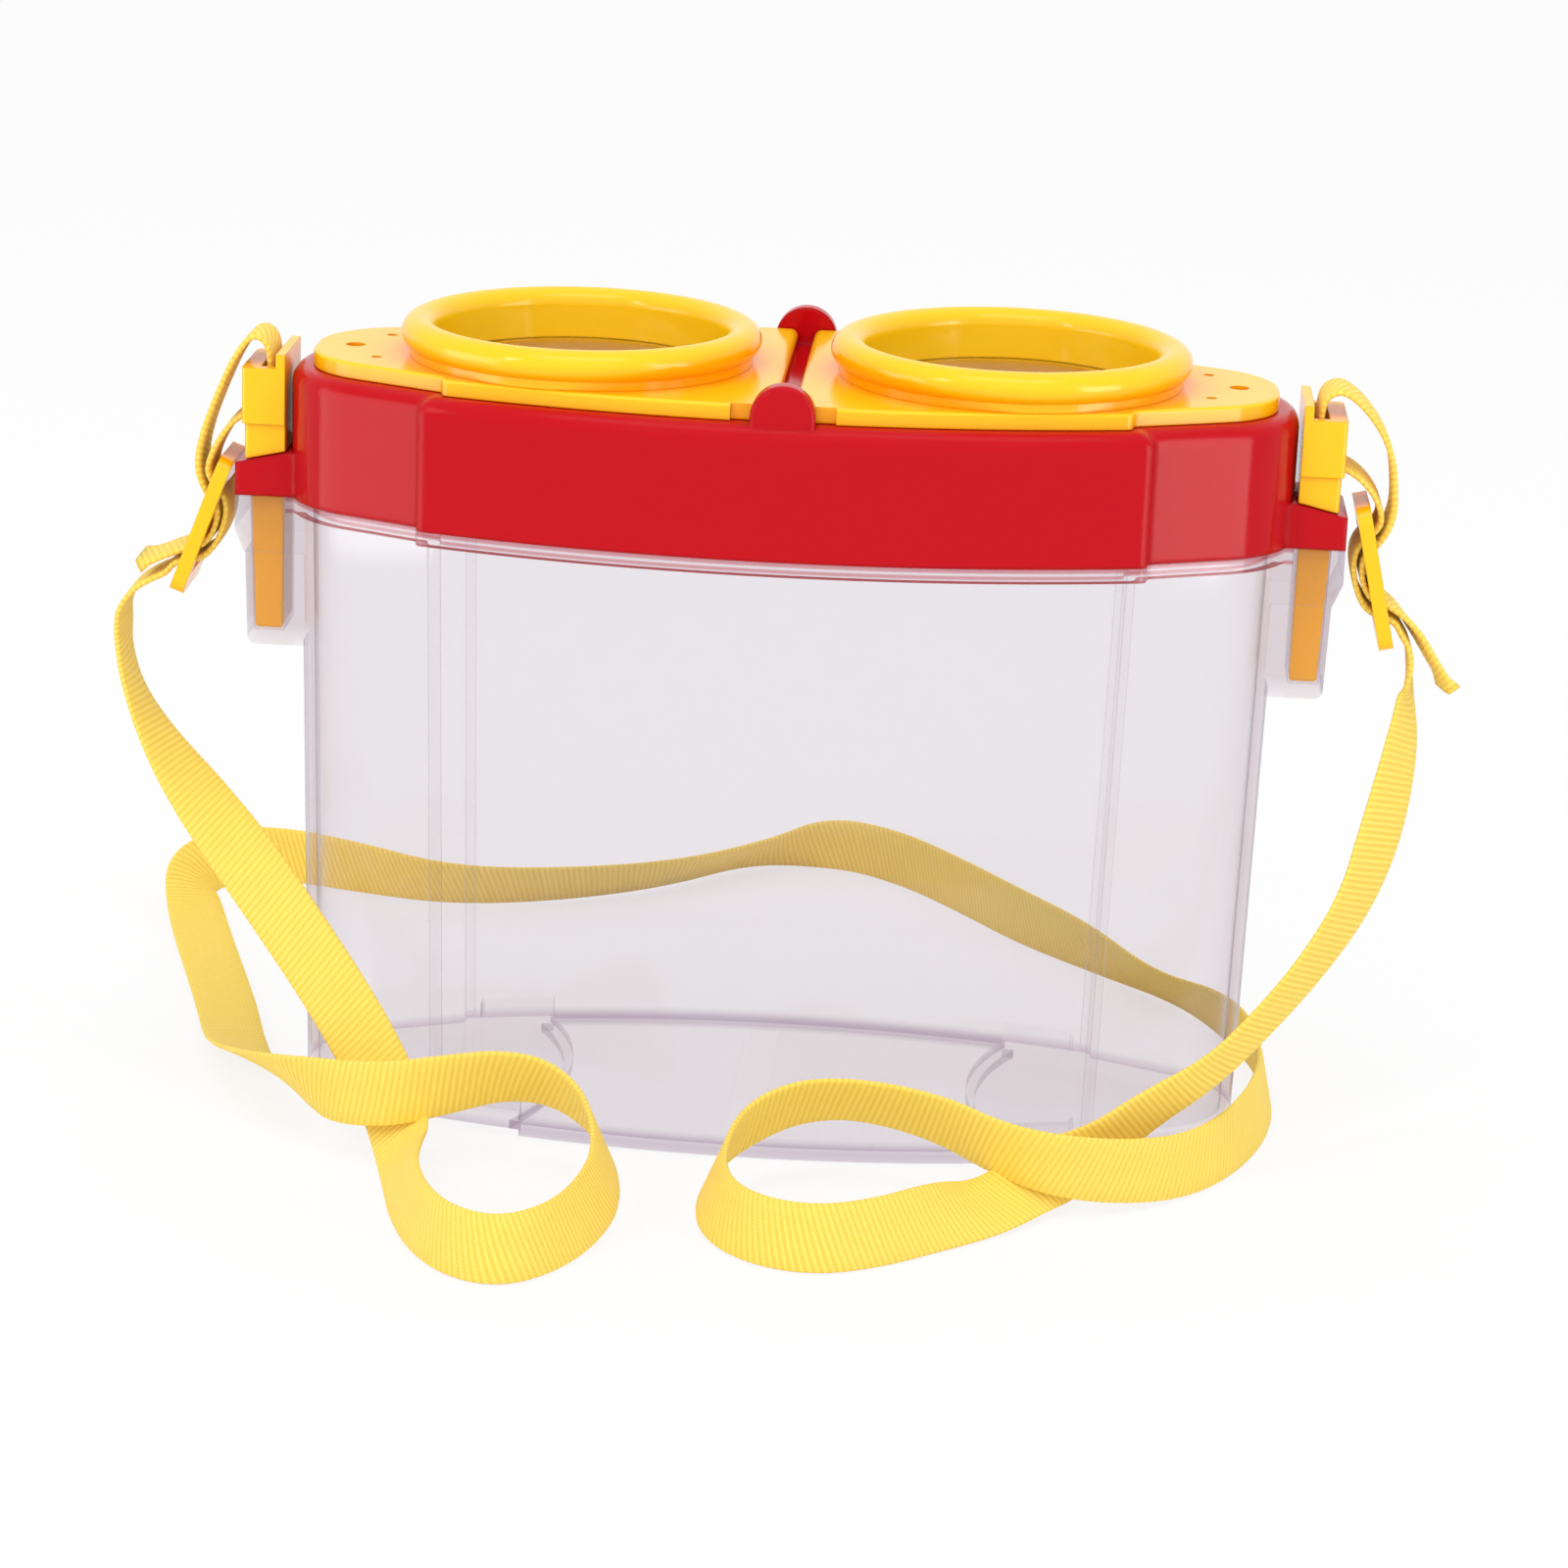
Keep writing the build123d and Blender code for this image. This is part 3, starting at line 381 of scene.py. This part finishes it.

# %% [markdown]
# ## Free stretches of the strap
# Webbing that hangs or lies loose is limp, and a simulation may want to bend it anew. So for each free
# stretch a path is read along its middle, starting where the stretch is held. The two threaded ends are held
# all along and are left out.

walked_back = ("strap_front_left", "strap_right_drop")
for name, (first, last) in strap_stretches.items():
    if name.endswith("threading"):
        continue
    path = [centre for centre, across, face, along in strap_frames[first : last + 1]]
    if name in walked_back:
        path = path[::-1]

# %% [markdown]
# ## Helpers for the finishes
# Most finishes here are one main shader with a few texture nodes in front of it. The helpers below keep
# each finish short enough to read: one adds a node, one links two sockets, and the rest are the small
# steps that come back in every finish. They work on any node tree, so the floor and the room use them too.

# %% Define the node helpers
def add_node(finish, kind, **sockets):
    """A new node in a finish, with some of its sockets set."""
    made = finish.node_tree.nodes.new(kind)
    for socket, value in sockets.items():
        made.inputs[socket.replace("_", " ")].default_value = value
    return made


def join(finish, source, target):
    """A link from one socket to another."""
    finish.node_tree.links.new(source, target)


def maths(finish, operation, *terms):
    """The result of a sum whose terms are numbers or other nodes' outputs."""
    made = add_node(finish, "ShaderNodeMath")
    made.operation = operation
    for socket, term in zip(made.inputs, terms):
        if isinstance(term, float):
            socket.default_value = term
        else:
            join(finish, term, socket)
    return made.outputs[0]


def span(finish, amount, start, stop, low=0.0, high=1.0):
    """A number that runs from low to high as an amount runs from start to stop."""
    made = add_node(finish, "ShaderNodeMapRange", From_Min=start, From_Max=stop, To_Min=low, To_Max=high)
    join(finish, amount, made.inputs["Value"])
    return made.outputs["Result"]


def mix_shaders(finish, share, first, second):
    """Two shaders in one, with the share that the second has."""
    made = add_node(finish, "ShaderNodeMixShader")
    for socket, source in zip(made.inputs, (share, first, second)):
        join(finish, source, socket)
    return made.outputs[0]


def blank_finish(name, **sockets):
    """A finish that has only its main shader, with some of its sockets set."""
    finish = bpy.data.materials.new(name)
    finish.use_nodes = True
    shader = finish.node_tree.nodes["Principled BSDF"]
    for socket, value in sockets.items():
        shader.inputs[socket.replace("_", " ")].default_value = value
    return finish, shader


print("node helpers are ready")

# %% [markdown]
# ## Noise and what it drives
# Noise stays near its middle value, so the helpers use only the range from 0.3 to 0.7 and stretch that to
# a colour or a roughness. The noise is fixed to the piece by its own coordinates, so it moves with a lid
# or a flap.

# %% Define the noise helpers
NOISE_LOW = 0.3
NOISE_HIGH = 0.7


def noise(finish, scale, detail=2.0):
    """Noise that is fixed to the piece, with the scale given per metre."""
    place = add_node(finish, "ShaderNodeTexCoord")
    made = add_node(finish, "ShaderNodeTexNoise", Scale=scale, Detail=detail)
    join(finish, place.outputs["Object"], made.inputs["Vector"])
    return made.outputs[0]


def colours_between(finish, amount, dark, light):
    """A colour that runs from dark to light over the noise range."""
    ramp = add_node(finish, "ShaderNodeValToRGB")
    first, last = ramp.color_ramp.elements
    first.position = NOISE_LOW
    last.position = NOISE_HIGH
    first.color = (*dark, 1.0)
    last.color = (*light, 1.0)
    join(finish, amount, ramp.inputs[0])
    return ramp.outputs["Color"]


def values_between(finish, amount, low, high):
    """A number that runs from low to high over the noise range."""
    return span(finish, amount, NOISE_LOW, NOISE_HIGH, low, high)


print("noise is read from", NOISE_LOW, "to", NOISE_HIGH)

# %% [markdown]
# ## Red and yellow plastic
# Both are glossy moulded plastics. The mould leaves slow waves in the colour and a fine skin that breaks
# up the highlights. Moulded plastic never has a knife edge, and a Bevel modifier would have to cope with
# thousands of small triangles, so the Bevel shader node rounds the edges in the shading instead.
# In its hollows the yellow turns orange, because light there meets the pigment again and again. Scattering
# under the surface could show that, but in plates this thin it lets the red light out and leaves them green.
# So that bounced light and shade are painted into the colour: where the Ambient Occlusion node finds a
# hollow, the colour runs to a darker orange, a painted shade.

# %% Define the moulded plastic
EDGE_ROUND = {"red": 0.0010, "yellow": 0.00035}
EDGE_SAMPLES = 4
DRIFT_SCALE = 60.0
DRIFT_SHARE = 0.12
SKIN_SCALE = 2600.0
SKIN_STRENGTH = 0.04
SKIN_DEPTH = 0.00005
HOLLOW_REACH = 0.04
HOLLOW_SAMPLES = 6
HOLLOW_GAIN = 1.4
HOLLOW_SHIFT = -0.62


def rounded_skin(finish, shader, edge_round, skin):
    """Fine relief on top of rounded edges."""
    edge = add_node(finish, "ShaderNodeBevel", Radius=edge_round)
    edge.samples = EDGE_SAMPLES
    relief = add_node(finish, "ShaderNodeBump", Strength=SKIN_STRENGTH, Distance=SKIN_DEPTH)
    join(finish, skin, relief.inputs["Height"])
    join(finish, edge.outputs["Normal"], relief.inputs["Normal"])
    join(finish, relief.outputs["Normal"], shader.inputs["Normal"])


def moulded_plastic(colour, deep, open_colour, gloss, matt, **sockets):
    """Glossy plastic with a painted shade in its hollows and whose gloss varies over its skin."""
    finish, shader = blank_finish(colour + "_gloss_plastic", **sockets)
    skin = noise(finish, SKIN_SCALE, detail=3.0)
    # Painted shade: where the Ambient Occlusion node finds a hollow, the colour runs to the darker hollow
    # colour; slow noise adds random tone.
    hollow = add_node(finish, "ShaderNodeAmbientOcclusion", Distance=HOLLOW_REACH)
    hollow.samples = HOLLOW_SAMPLES
    openness = maths(finish, "MULTIPLY_ADD", hollow.outputs["AO"], HOLLOW_GAIN, HOLLOW_SHIFT)
    openness = maths(finish, "MULTIPLY_ADD", noise(finish, DRIFT_SCALE), DRIFT_SHARE, openness)
    join(finish, colours_between(finish, openness, deep, open_colour), shader.inputs["Base Color"])
    join(finish, values_between(finish, skin, gloss, matt), shader.inputs["Roughness"])
    rounded_skin(finish, shader, EDGE_ROUND[colour], skin)
    return finish


print("edges are rounded by", {colour: round(size / MM, 2) for colour, size in EDGE_ROUND.items()}, "mm")

# %% [markdown]
# ## The two colours
# The red hides what lies under it, so its painted shade in the hollows is faint, while the yellow runs from
# a shaded orange to a warm yellow. Both mirror less than bare plastic would, because the white room would
# otherwise lie on every face as a milky veil.

# %% Make the red and the yellow
# Each colour is given twice: first the painted shade for its hollows, then its own colour in the open.
RED = {"deep": (0.50, 0.002, 0.006), "open_colour": (0.54, 0.003, 0.009)}
YELLOW = {"deep": (1.0, 0.44, 0.002), "open_colour": (1.0, 0.61, 0.010)}
red_plastic = moulded_plastic("red", **RED, gloss=0.07, matt=0.14, IOR=1.50, Specular_IOR_Level=0.12)
yellow_plastic = moulded_plastic("yellow", **YELLOW, gloss=0.10, matt=0.20, IOR=1.50,
                                 Specular_IOR_Level=0.28)
print("coloured plastics:", red_plastic.name, yellow_plastic.name)

# %% [markdown]
# ## Clear plastic
# The jar is moulded in clear styrene with walls under two millimetres thick. Full refraction traps light
# in such thin walls: the paths run out of bounces and every step in the wall turns black. A thin wall
# hardly bends what is behind it, so here light passes straight through, and the surface only adds a weak
# film of haze and a mirror reflection. This first cell makes the film, with the slow waves that the
# mould leaves and a little dust, and reads how much the wall turns away from the eye.

# %% Start the jar plastic
JAR_FILM = (0.80, 0.78, 0.83, 1.0)
DUST_SCALE = 900.0
WAVE_SCALE = 45.0
jar_plastic, jar_film = blank_finish("clear_jar_plastic", Base_Color=JAR_FILM, IOR=1.49)
jar_dust = noise(jar_plastic, DUST_SCALE)
join(jar_plastic, values_between(jar_plastic, jar_dust, low=0.10, high=0.30), jar_film.inputs["Roughness"])

jar_waves = add_node(jar_plastic, "ShaderNodeBump", Strength=0.12, Distance=0.0004)
join(jar_plastic, noise(jar_plastic, WAVE_SCALE), jar_waves.inputs["Height"])
join(jar_plastic, jar_waves.outputs["Normal"], jar_film.inputs["Normal"])

jar_slant = add_node(jar_plastic, "ShaderNodeLayerWeight", Blend=0.5).outputs["Facing"]
print("jar plastic started:", jar_plastic.name)

# %% [markdown]
# ## Tint of the jar and painted shade on its rims and foot
# Seen square on, the wall takes only a trace of light. Where it turns away, at the corners and the rims, the
# way through the plastic is long and the wall shows as a darker line. The absorbing volume set up below
# gives a little of that line; the rest is a painted shade on the rims, which stands in for the bending that
# is left out here. The foot shows as a line too, because its rounded edge bends light away, which a wall
# that bends nothing can't do. So a painted shade is put on the foot by its height, on upright faces only.

# %% Tint the wall and paint shade on its rims and its foot
WALL_TINT = (0.973, 0.968, 0.978)
RIM_SHADE = (0.58, 0.55, 0.63)
RIM_FROM = 0.66
FOOT_SHADE = (0.74, 0.67, 0.75)
FOOT_TOP = 0.0032
FOOT_FULL = 0.0016
LEVEL_FACE = 0.98
UPRIGHT_FACE = 0.6


def tinted(finish, colour, tint, share):
    """A colour with a share of another mixed in."""
    made = add_node(finish, "ShaderNodeMixRGB", Color2=(*tint, 1.0))
    join(finish, share, made.inputs["Fac"])
    join(finish, colour, made.inputs["Color1"])
    return made.outputs["Color"]


jar_place = add_node(jar_plastic, "ShaderNodeTexCoord")
jar_axes = add_node(jar_plastic, "ShaderNodeSeparateXYZ")
join(jar_plastic, jar_place.outputs["Object"], jar_axes.inputs[0])
jar_faces = add_node(jar_plastic, "ShaderNodeSeparateXYZ")
join(jar_plastic, jar_place.outputs["Normal"], jar_faces.inputs[0])

# Painted shade: the wall's own tint runs to the darker rim shade as the wall turns away from the eye.
jar_tint_and_painted_light = colours_between(jar_plastic, span(jar_plastic, jar_slant, RIM_FROM, 1.0), WALL_TINT, RIM_SHADE)
jar_low = span(jar_plastic, jar_axes.outputs["Z"], FOOT_TOP, FOOT_FULL)
jar_level = maths(jar_plastic, "ABSOLUTE", jar_faces.outputs["Z"])
jar_upright = span(jar_plastic, jar_level, LEVEL_FACE, UPRIGHT_FACE)
# Painted shade on the foot, by height, on upright faces only.
jar_tint_and_painted_light = tinted(jar_plastic, jar_tint_and_painted_light, FOOT_SHADE, maths(jar_plastic, "MULTIPLY", jar_low, jar_upright))
print(f"foot is tinted below {FOOT_TOP / MM:.1f} mm")

# %% [markdown]
# ## Painted reflection of the lid on the flange
# The clear flange under the lid catches the lid's red along its two edges and stays white between them.
# Traced light would need the bends that were left out above, so the red is a painted reflection, carried by
# two thin bands of height.
# They stop at the ends of the rim, where the latch sockets begin.

# %% Paint the lid's red reflection on the flange
FLANGE_RED_REFLECTION = (0.78, 0.40, 0.43)
FLANGE_END = 0.0762
FLANGE_LOW, FLANGE_HIGH = 91.8, 94.3
FLANGE_LINES = [(92.1, 1), (92.4, 1), (92.7, 0), (93.6, 0), (93.9, 1), (94.29, 1)]

flange_lines = add_node(jar_plastic, "ShaderNodeValToRGB")
line_stops = flange_lines.color_ramp.elements
line_stops[1].color = (0.0, 0.0, 0.0, 1.0)
for height, red in FLANGE_LINES:
    line_stops.new((height - FLANGE_LOW) / (FLANGE_HIGH - FLANGE_LOW)).color = (red, red, red, 1.0)
flange_height = span(jar_plastic, jar_axes.outputs["Z"], FLANGE_LOW * MM, FLANGE_HIGH * MM)
join(jar_plastic, flange_height, flange_lines.inputs[0])

from_middle = maths(jar_plastic, "ABSOLUTE", jar_axes.outputs["X"])
on_rim = maths(jar_plastic, "LESS_THAN", from_middle, FLANGE_END)
# Painted reflection of the red lid, only along the rim.
painted_red_reflection = maths(jar_plastic, "MULTIPLY", flange_lines.outputs["Color"], on_rim)
jar_tint_and_painted_light = tinted(jar_plastic, jar_tint_and_painted_light, FLANGE_RED_REFLECTION, painted_red_reflection)
print("flange lines have", len(line_stops), "stops")

# %% [markdown]
# ## Putting the jar plastic together
# The tinted wall, with its painted shade and painted reflection, lets light through, the haze and the mirror
# lie on top, and both grow with the slant. A Fresnel node would shut light inside the wall again, so the
# mirror's share is the slant raised to a power. The plastic also absorbs a little along the way, which
# darkens the floor of the jar and its thick places, just as in the real one. The pink of that absorption is
# a painted reflection of the red lid.

# %% Finish the jar plastic
# The darkening is the plastic's own absorption; its pink is a painted reflection of the red lid.
JAR_SHADE = (0.74, 0.64, 0.67, 1.0)
JAR_DENSITY = 75.0
TWO_WALLS = 0.0034
HAZE_FROM = 0.5
HAZE_LEAST, HAZE_MOST = 0.01, 0.18
MIRROR_POWER = 5.0
MIRROR_LEAST, MIRROR_MOST = 0.02, 0.60

jar_through = add_node(jar_plastic, "ShaderNodeBsdfTransparent")
join(jar_plastic, jar_tint_and_painted_light, jar_through.inputs["Color"])
jar_mirror = add_node(jar_plastic, "ShaderNodeBsdfAnisotropic", Color=(1.0, 1.0, 1.0, 1.0), Roughness=0.06)
join(jar_plastic, jar_waves.outputs["Normal"], jar_mirror.inputs["Normal"])
jar_haze = span(jar_plastic, jar_slant, HAZE_FROM, 1.0, HAZE_LEAST, HAZE_MOST)
jar_wall = mix_shaders(jar_plastic, jar_haze, jar_through.outputs[0], jar_film.outputs[0])
jar_bounce = maths(jar_plastic, "POWER", jar_slant, MIRROR_POWER)
jar_bounce = span(jar_plastic, jar_bounce, 0.0, 1.0, MIRROR_LEAST, MIRROR_MOST)
jar_surface = mix_shaders(jar_plastic, jar_bounce, jar_wall, jar_mirror.outputs[0])
jar_inside = add_node(jar_plastic, "ShaderNodeVolumeAbsorption", Color=JAR_SHADE, Density=JAR_DENSITY)
jar_output = jar_plastic.node_tree.nodes["Material Output"]
join(jar_plastic, jar_surface, jar_output.inputs["Surface"])
join(jar_plastic, jar_inside.outputs[0], jar_output.inputs["Volume"])
let_through = [math.exp(-TWO_WALLS * JAR_DENSITY * (1 - share)) for share in JAR_SHADE[:3]]
print("two walls let through", [round(share, 2) for share in let_through])

# %% [markdown]
# ## Lens plastic
# The magnifiers are thick and their job is to bend light, so they keep full refraction. A faint haze
# stands for finger marks.

# %% Make the lens plastic
LENS_COLOUR = (0.99, 0.99, 0.99, 1.0)
MARK_SCALE = 160.0
lens_plastic, lens_shader = blank_finish(
    "clear_lens_plastic", Base_Color=LENS_COLOUR, Transmission_Weight=1.0, IOR=1.49
)
lens_marks = noise(lens_plastic, MARK_SCALE, detail=3.0)
lens_haze = values_between(lens_plastic, lens_marks, low=0.0, high=0.03)
join(lens_plastic, lens_haze, lens_shader.inputs["Roughness"])
lens_relief = add_node(lens_plastic, "ShaderNodeBump", Strength=0.05, Distance=0.0001)
join(lens_plastic, lens_marks, lens_relief.inputs["Height"])
join(lens_plastic, lens_relief.outputs["Normal"], lens_shader.inputs["Normal"])
print("lens plastic:", lens_plastic.name)

# %% [markdown]
# ## Strap webbing finish
# The webbing is woven with a rib across its width, about one rib to a millimetre, laid at a slight
# slant. Its texture coordinates are in millimetres along and across the band, so the ribs keep their
# pitch through every bend and twist.

# %% Draw the ribs and threads
RIB_PITCH = 1.0
RIB_SLANT = 0.30
THREAD_PITCH = 0.55
THREAD_SHARE = 0.25
YARN_SHEEN = (1.0, 0.86, 0.45, 1.0)
webbing, webbing_shader = blank_finish(
    "strap_webbing_weave", Sheen_Weight=0.25, Sheen_Roughness=0.45, Sheen_Tint=YARN_SHEEN, IOR=1.45
)
weave_map = add_node(webbing, "ShaderNodeUVMap")
weave_map.uv_map = "weave"
weave_axes = add_node(webbing, "ShaderNodeSeparateXYZ")
join(webbing, weave_map.outputs["UV"], weave_axes.inputs[0])


def stripes(finish, along, across, pitch, slant):
    """Soft stripes from 0 to 1 over the band's own coordinates."""
    leaning = maths(finish, "MULTIPLY_ADD", across, slant, along)
    phase = maths(finish, "MULTIPLY", leaning, 2 * math.pi / pitch)
    return span(finish, maths(finish, "SINE", phase), -1.0, 1.0)


ribs = stripes(webbing, weave_axes.outputs["X"], weave_axes.outputs["Y"], RIB_PITCH, RIB_SLANT)
threads = stripes(webbing, weave_axes.outputs["Y"], weave_axes.outputs["X"], THREAD_PITCH, 0.0)
weave = maths(webbing, "MULTIPLY_ADD", threads, THREAD_SHARE, ribs)
print("webbing ribs every", RIB_PITCH, "mm")

# %% [markdown]
# ## Colour and relief of the webbing
# The grooves between the ribs are a little darker than the ribs, a painted shade, and the yarn is matt, with
# a fuzz that changes its roughness from place to place. The same pattern gives the relief, so the painted
# shade lies in the grooves of the relief.

# %% Finish the webbing
# The groove colour is a painted shade in the grooves; the rib colour is the yarn's own colour.
GROOVE_SHADE = (0.92, 0.63, 0.070)
RIB_COLOUR = (1.0, 0.75, 0.125)
FUZZ_SCALE = 1500.0
fuzz = noise(webbing, FUZZ_SCALE, detail=3.0)
join(webbing, colours_between(webbing, ribs, GROOVE_SHADE, RIB_COLOUR), webbing_shader.inputs["Base Color"])
join(webbing, values_between(webbing, fuzz, low=0.60, high=0.85), webbing_shader.inputs["Roughness"])
weave_relief = add_node(webbing, "ShaderNodeBump", Strength=0.5, Distance=0.00015)
join(webbing, weave, weave_relief.inputs["Height"])
join(webbing, weave_relief.outputs["Normal"], webbing_shader.inputs["Normal"])
for piece in strap_pieces.values():
    piece.data.materials.append(webbing)
print("webbing on", len(strap_pieces), "pieces")

# %% [markdown]
# ## Dressing the solid pieces
# The jar, lid, flaps, rings, lenses, latches and sliders already have the right shape in the solid
# model, so they stay and only take a finish. A ray tracer treats a refracting piece as a blocker for
# lamp light, so the lenses cast no shadow and the light still falls through them into the jar.

# %% Give the solid pieces their finishes
finishes = {
    "red_plastic": red_plastic,
    "yellow_plastic": yellow_plastic,
    "clear_plastic": jar_plastic,
    "clear_lens": lens_plastic,
}
for piece in nodes.values():
    for place in piece.material_slots:
        if place.material and place.material.name in finishes:
            place.material = finishes[place.material.name]
for name in ("left_lens", "right_lens"):
    nodes[name].visible_shadow = False
print("dressed", len(nodes), "solid pieces")

# %% [markdown]
# ## Floor
# The photograph has a plain white ground. A floor of white emission would lose the shadow that holds
# the jar to the ground, so the floor mixes a pale matt surface with a plain white glow that only the
# camera, reflections and clear pieces see.

# %% Lay the floor
FLOOR_REACH = 5.0
FLOOR_GLOW = 0.82
floor_corners = [(x * FLOOR_REACH, y * FLOOR_REACH, 0.0) for x, y in ((-1, -1), (1, -1), (1, 1), (-1, 1))]
floor_mesh = bpy.data.meshes.new("studio_floor")
floor_mesh.from_pydata(floor_corners, [], [(0, 1, 2, 3)])
studio_floor = bpy.data.objects.new("studio_floor", floor_mesh)
bpy.context.collection.objects.link(studio_floor)


def seen_rays(finish):
    """1 for rays that come from the camera, a reflection or a clear piece."""
    rays = add_node(finish, "ShaderNodeLightPath").outputs
    seen = maths(finish, "MAXIMUM", rays["Is Camera Ray"], rays["Is Glossy Ray"])
    return maths(finish, "MAXIMUM", seen, rays["Is Transmission Ray"])


floor_paint, floor_shader = blank_finish("pale_floor", Base_Color=(0.90, 0.90, 0.90, 1.0), Roughness=0.9)
floor_glow = add_node(floor_paint, "ShaderNodeEmission", Color=(1.0, 1.0, 1.0, 1.0), Strength=1.0)
glow_share = maths(floor_paint, "MULTIPLY", seen_rays(floor_paint), FLOOR_GLOW)
floor_surface = mix_shaders(floor_paint, glow_share, floor_shader.outputs[0], floor_glow.outputs[0])
join(floor_paint, floor_surface, floor_paint.node_tree.nodes["Material Output"].inputs["Surface"])
floor_mesh.materials.append(floor_paint)
print("floor glow share", FLOOR_GLOW)

# %% [markdown]
# ## Room light
# The room itself is white and gives most of the light, so every colour renders about as it is written.
# What is seen of the room, straight or in a reflection, is pure white, and its light on the piece is a
# little weaker, so that the lamps still have room to shape it.

# %% Light the room
ROOM_LIGHT = 0.82
room = bpy.data.worlds.new("studio_room")
room.use_nodes = True
bpy.context.scene.world = room
room_light = room.node_tree.nodes["Background"]
room_light.inputs["Color"].default_value = (1.0, 1.0, 1.0, 1.0)
room_strength = span(room, seen_rays(room), 0.0, 1.0, ROOM_LIGHT, 1.0)
join(room, room_strength, room_light.inputs["Strength"])
print("room light", ROOM_LIGHT)

# %% [markdown]
# ## Lamps and cards
# Four soft lamps give the light a direction: one from each side, one from the front and one from above.
# The glossy lid of the real jar also mirrors two bright panes beside it. Two cards stand for these. They
# are seen in gloss alone, because as lamps so near they would wash out the strap.

# %% Hang the lamps and the cards
JAR_MIDDLE = (0.0, 0.0, 0.06)
LAMPS = {
    "key_lamp": {"place": (-0.80, -0.80, 0.80), "size": (0.12, 0.50), "watts": 2.2},
    "fill_lamp": {"place": (0.95, -0.75, 0.60), "size": (0.12, 0.60), "watts": 1.4},
    "front_lamp": {"place": (0.0, -1.60, 1.00), "size": (1.40, 0.90), "watts": 2.0},
    "top_lamp": {"place": (0.0, -0.40, 1.30), "size": (0.90, 0.60), "watts": 4.2},
}
LEFT_LOBE = (-0.06, 0.0, 0.09)
RIGHT_LOBE = (0.06, 0.0, 0.09)
CARDS = {
    "left_card": {"place": (-0.34, -0.13, 0.11), "size": (0.24, 0.24), "watts": 0.65, "aim": LEFT_LOBE},
    "right_card": {"place": (0.33, -0.19, 0.11), "size": (0.16, 0.24), "watts": 0.75, "aim": RIGHT_LOBE},
}


def hang_lamp(name, place, size, watts, aim=JAR_MIDDLE):
    """A rectangular lamp that faces a point and isn't seen itself."""
    lamp = bpy.data.lights.new(name, "AREA")
    lamp.shape = "RECTANGLE"
    lamp.size, lamp.size_y = size
    lamp.energy = watts
    holder = bpy.data.objects.new(name, lamp)
    holder.location = place
    holder.rotation_euler = (Vector(aim) - Vector(place)).to_track_quat("-Z", "Y").to_euler()
    holder.visible_camera = False
    bpy.context.collection.objects.link(holder)
    return holder


for name, lamp in LAMPS.items():
    hang_lamp(name, **lamp)
for name, card in CARDS.items():
    hang_lamp(name, **card).visible_diffuse = False
print("lamps:", ", ".join(LAMPS), "and cards:", ", ".join(CARDS))
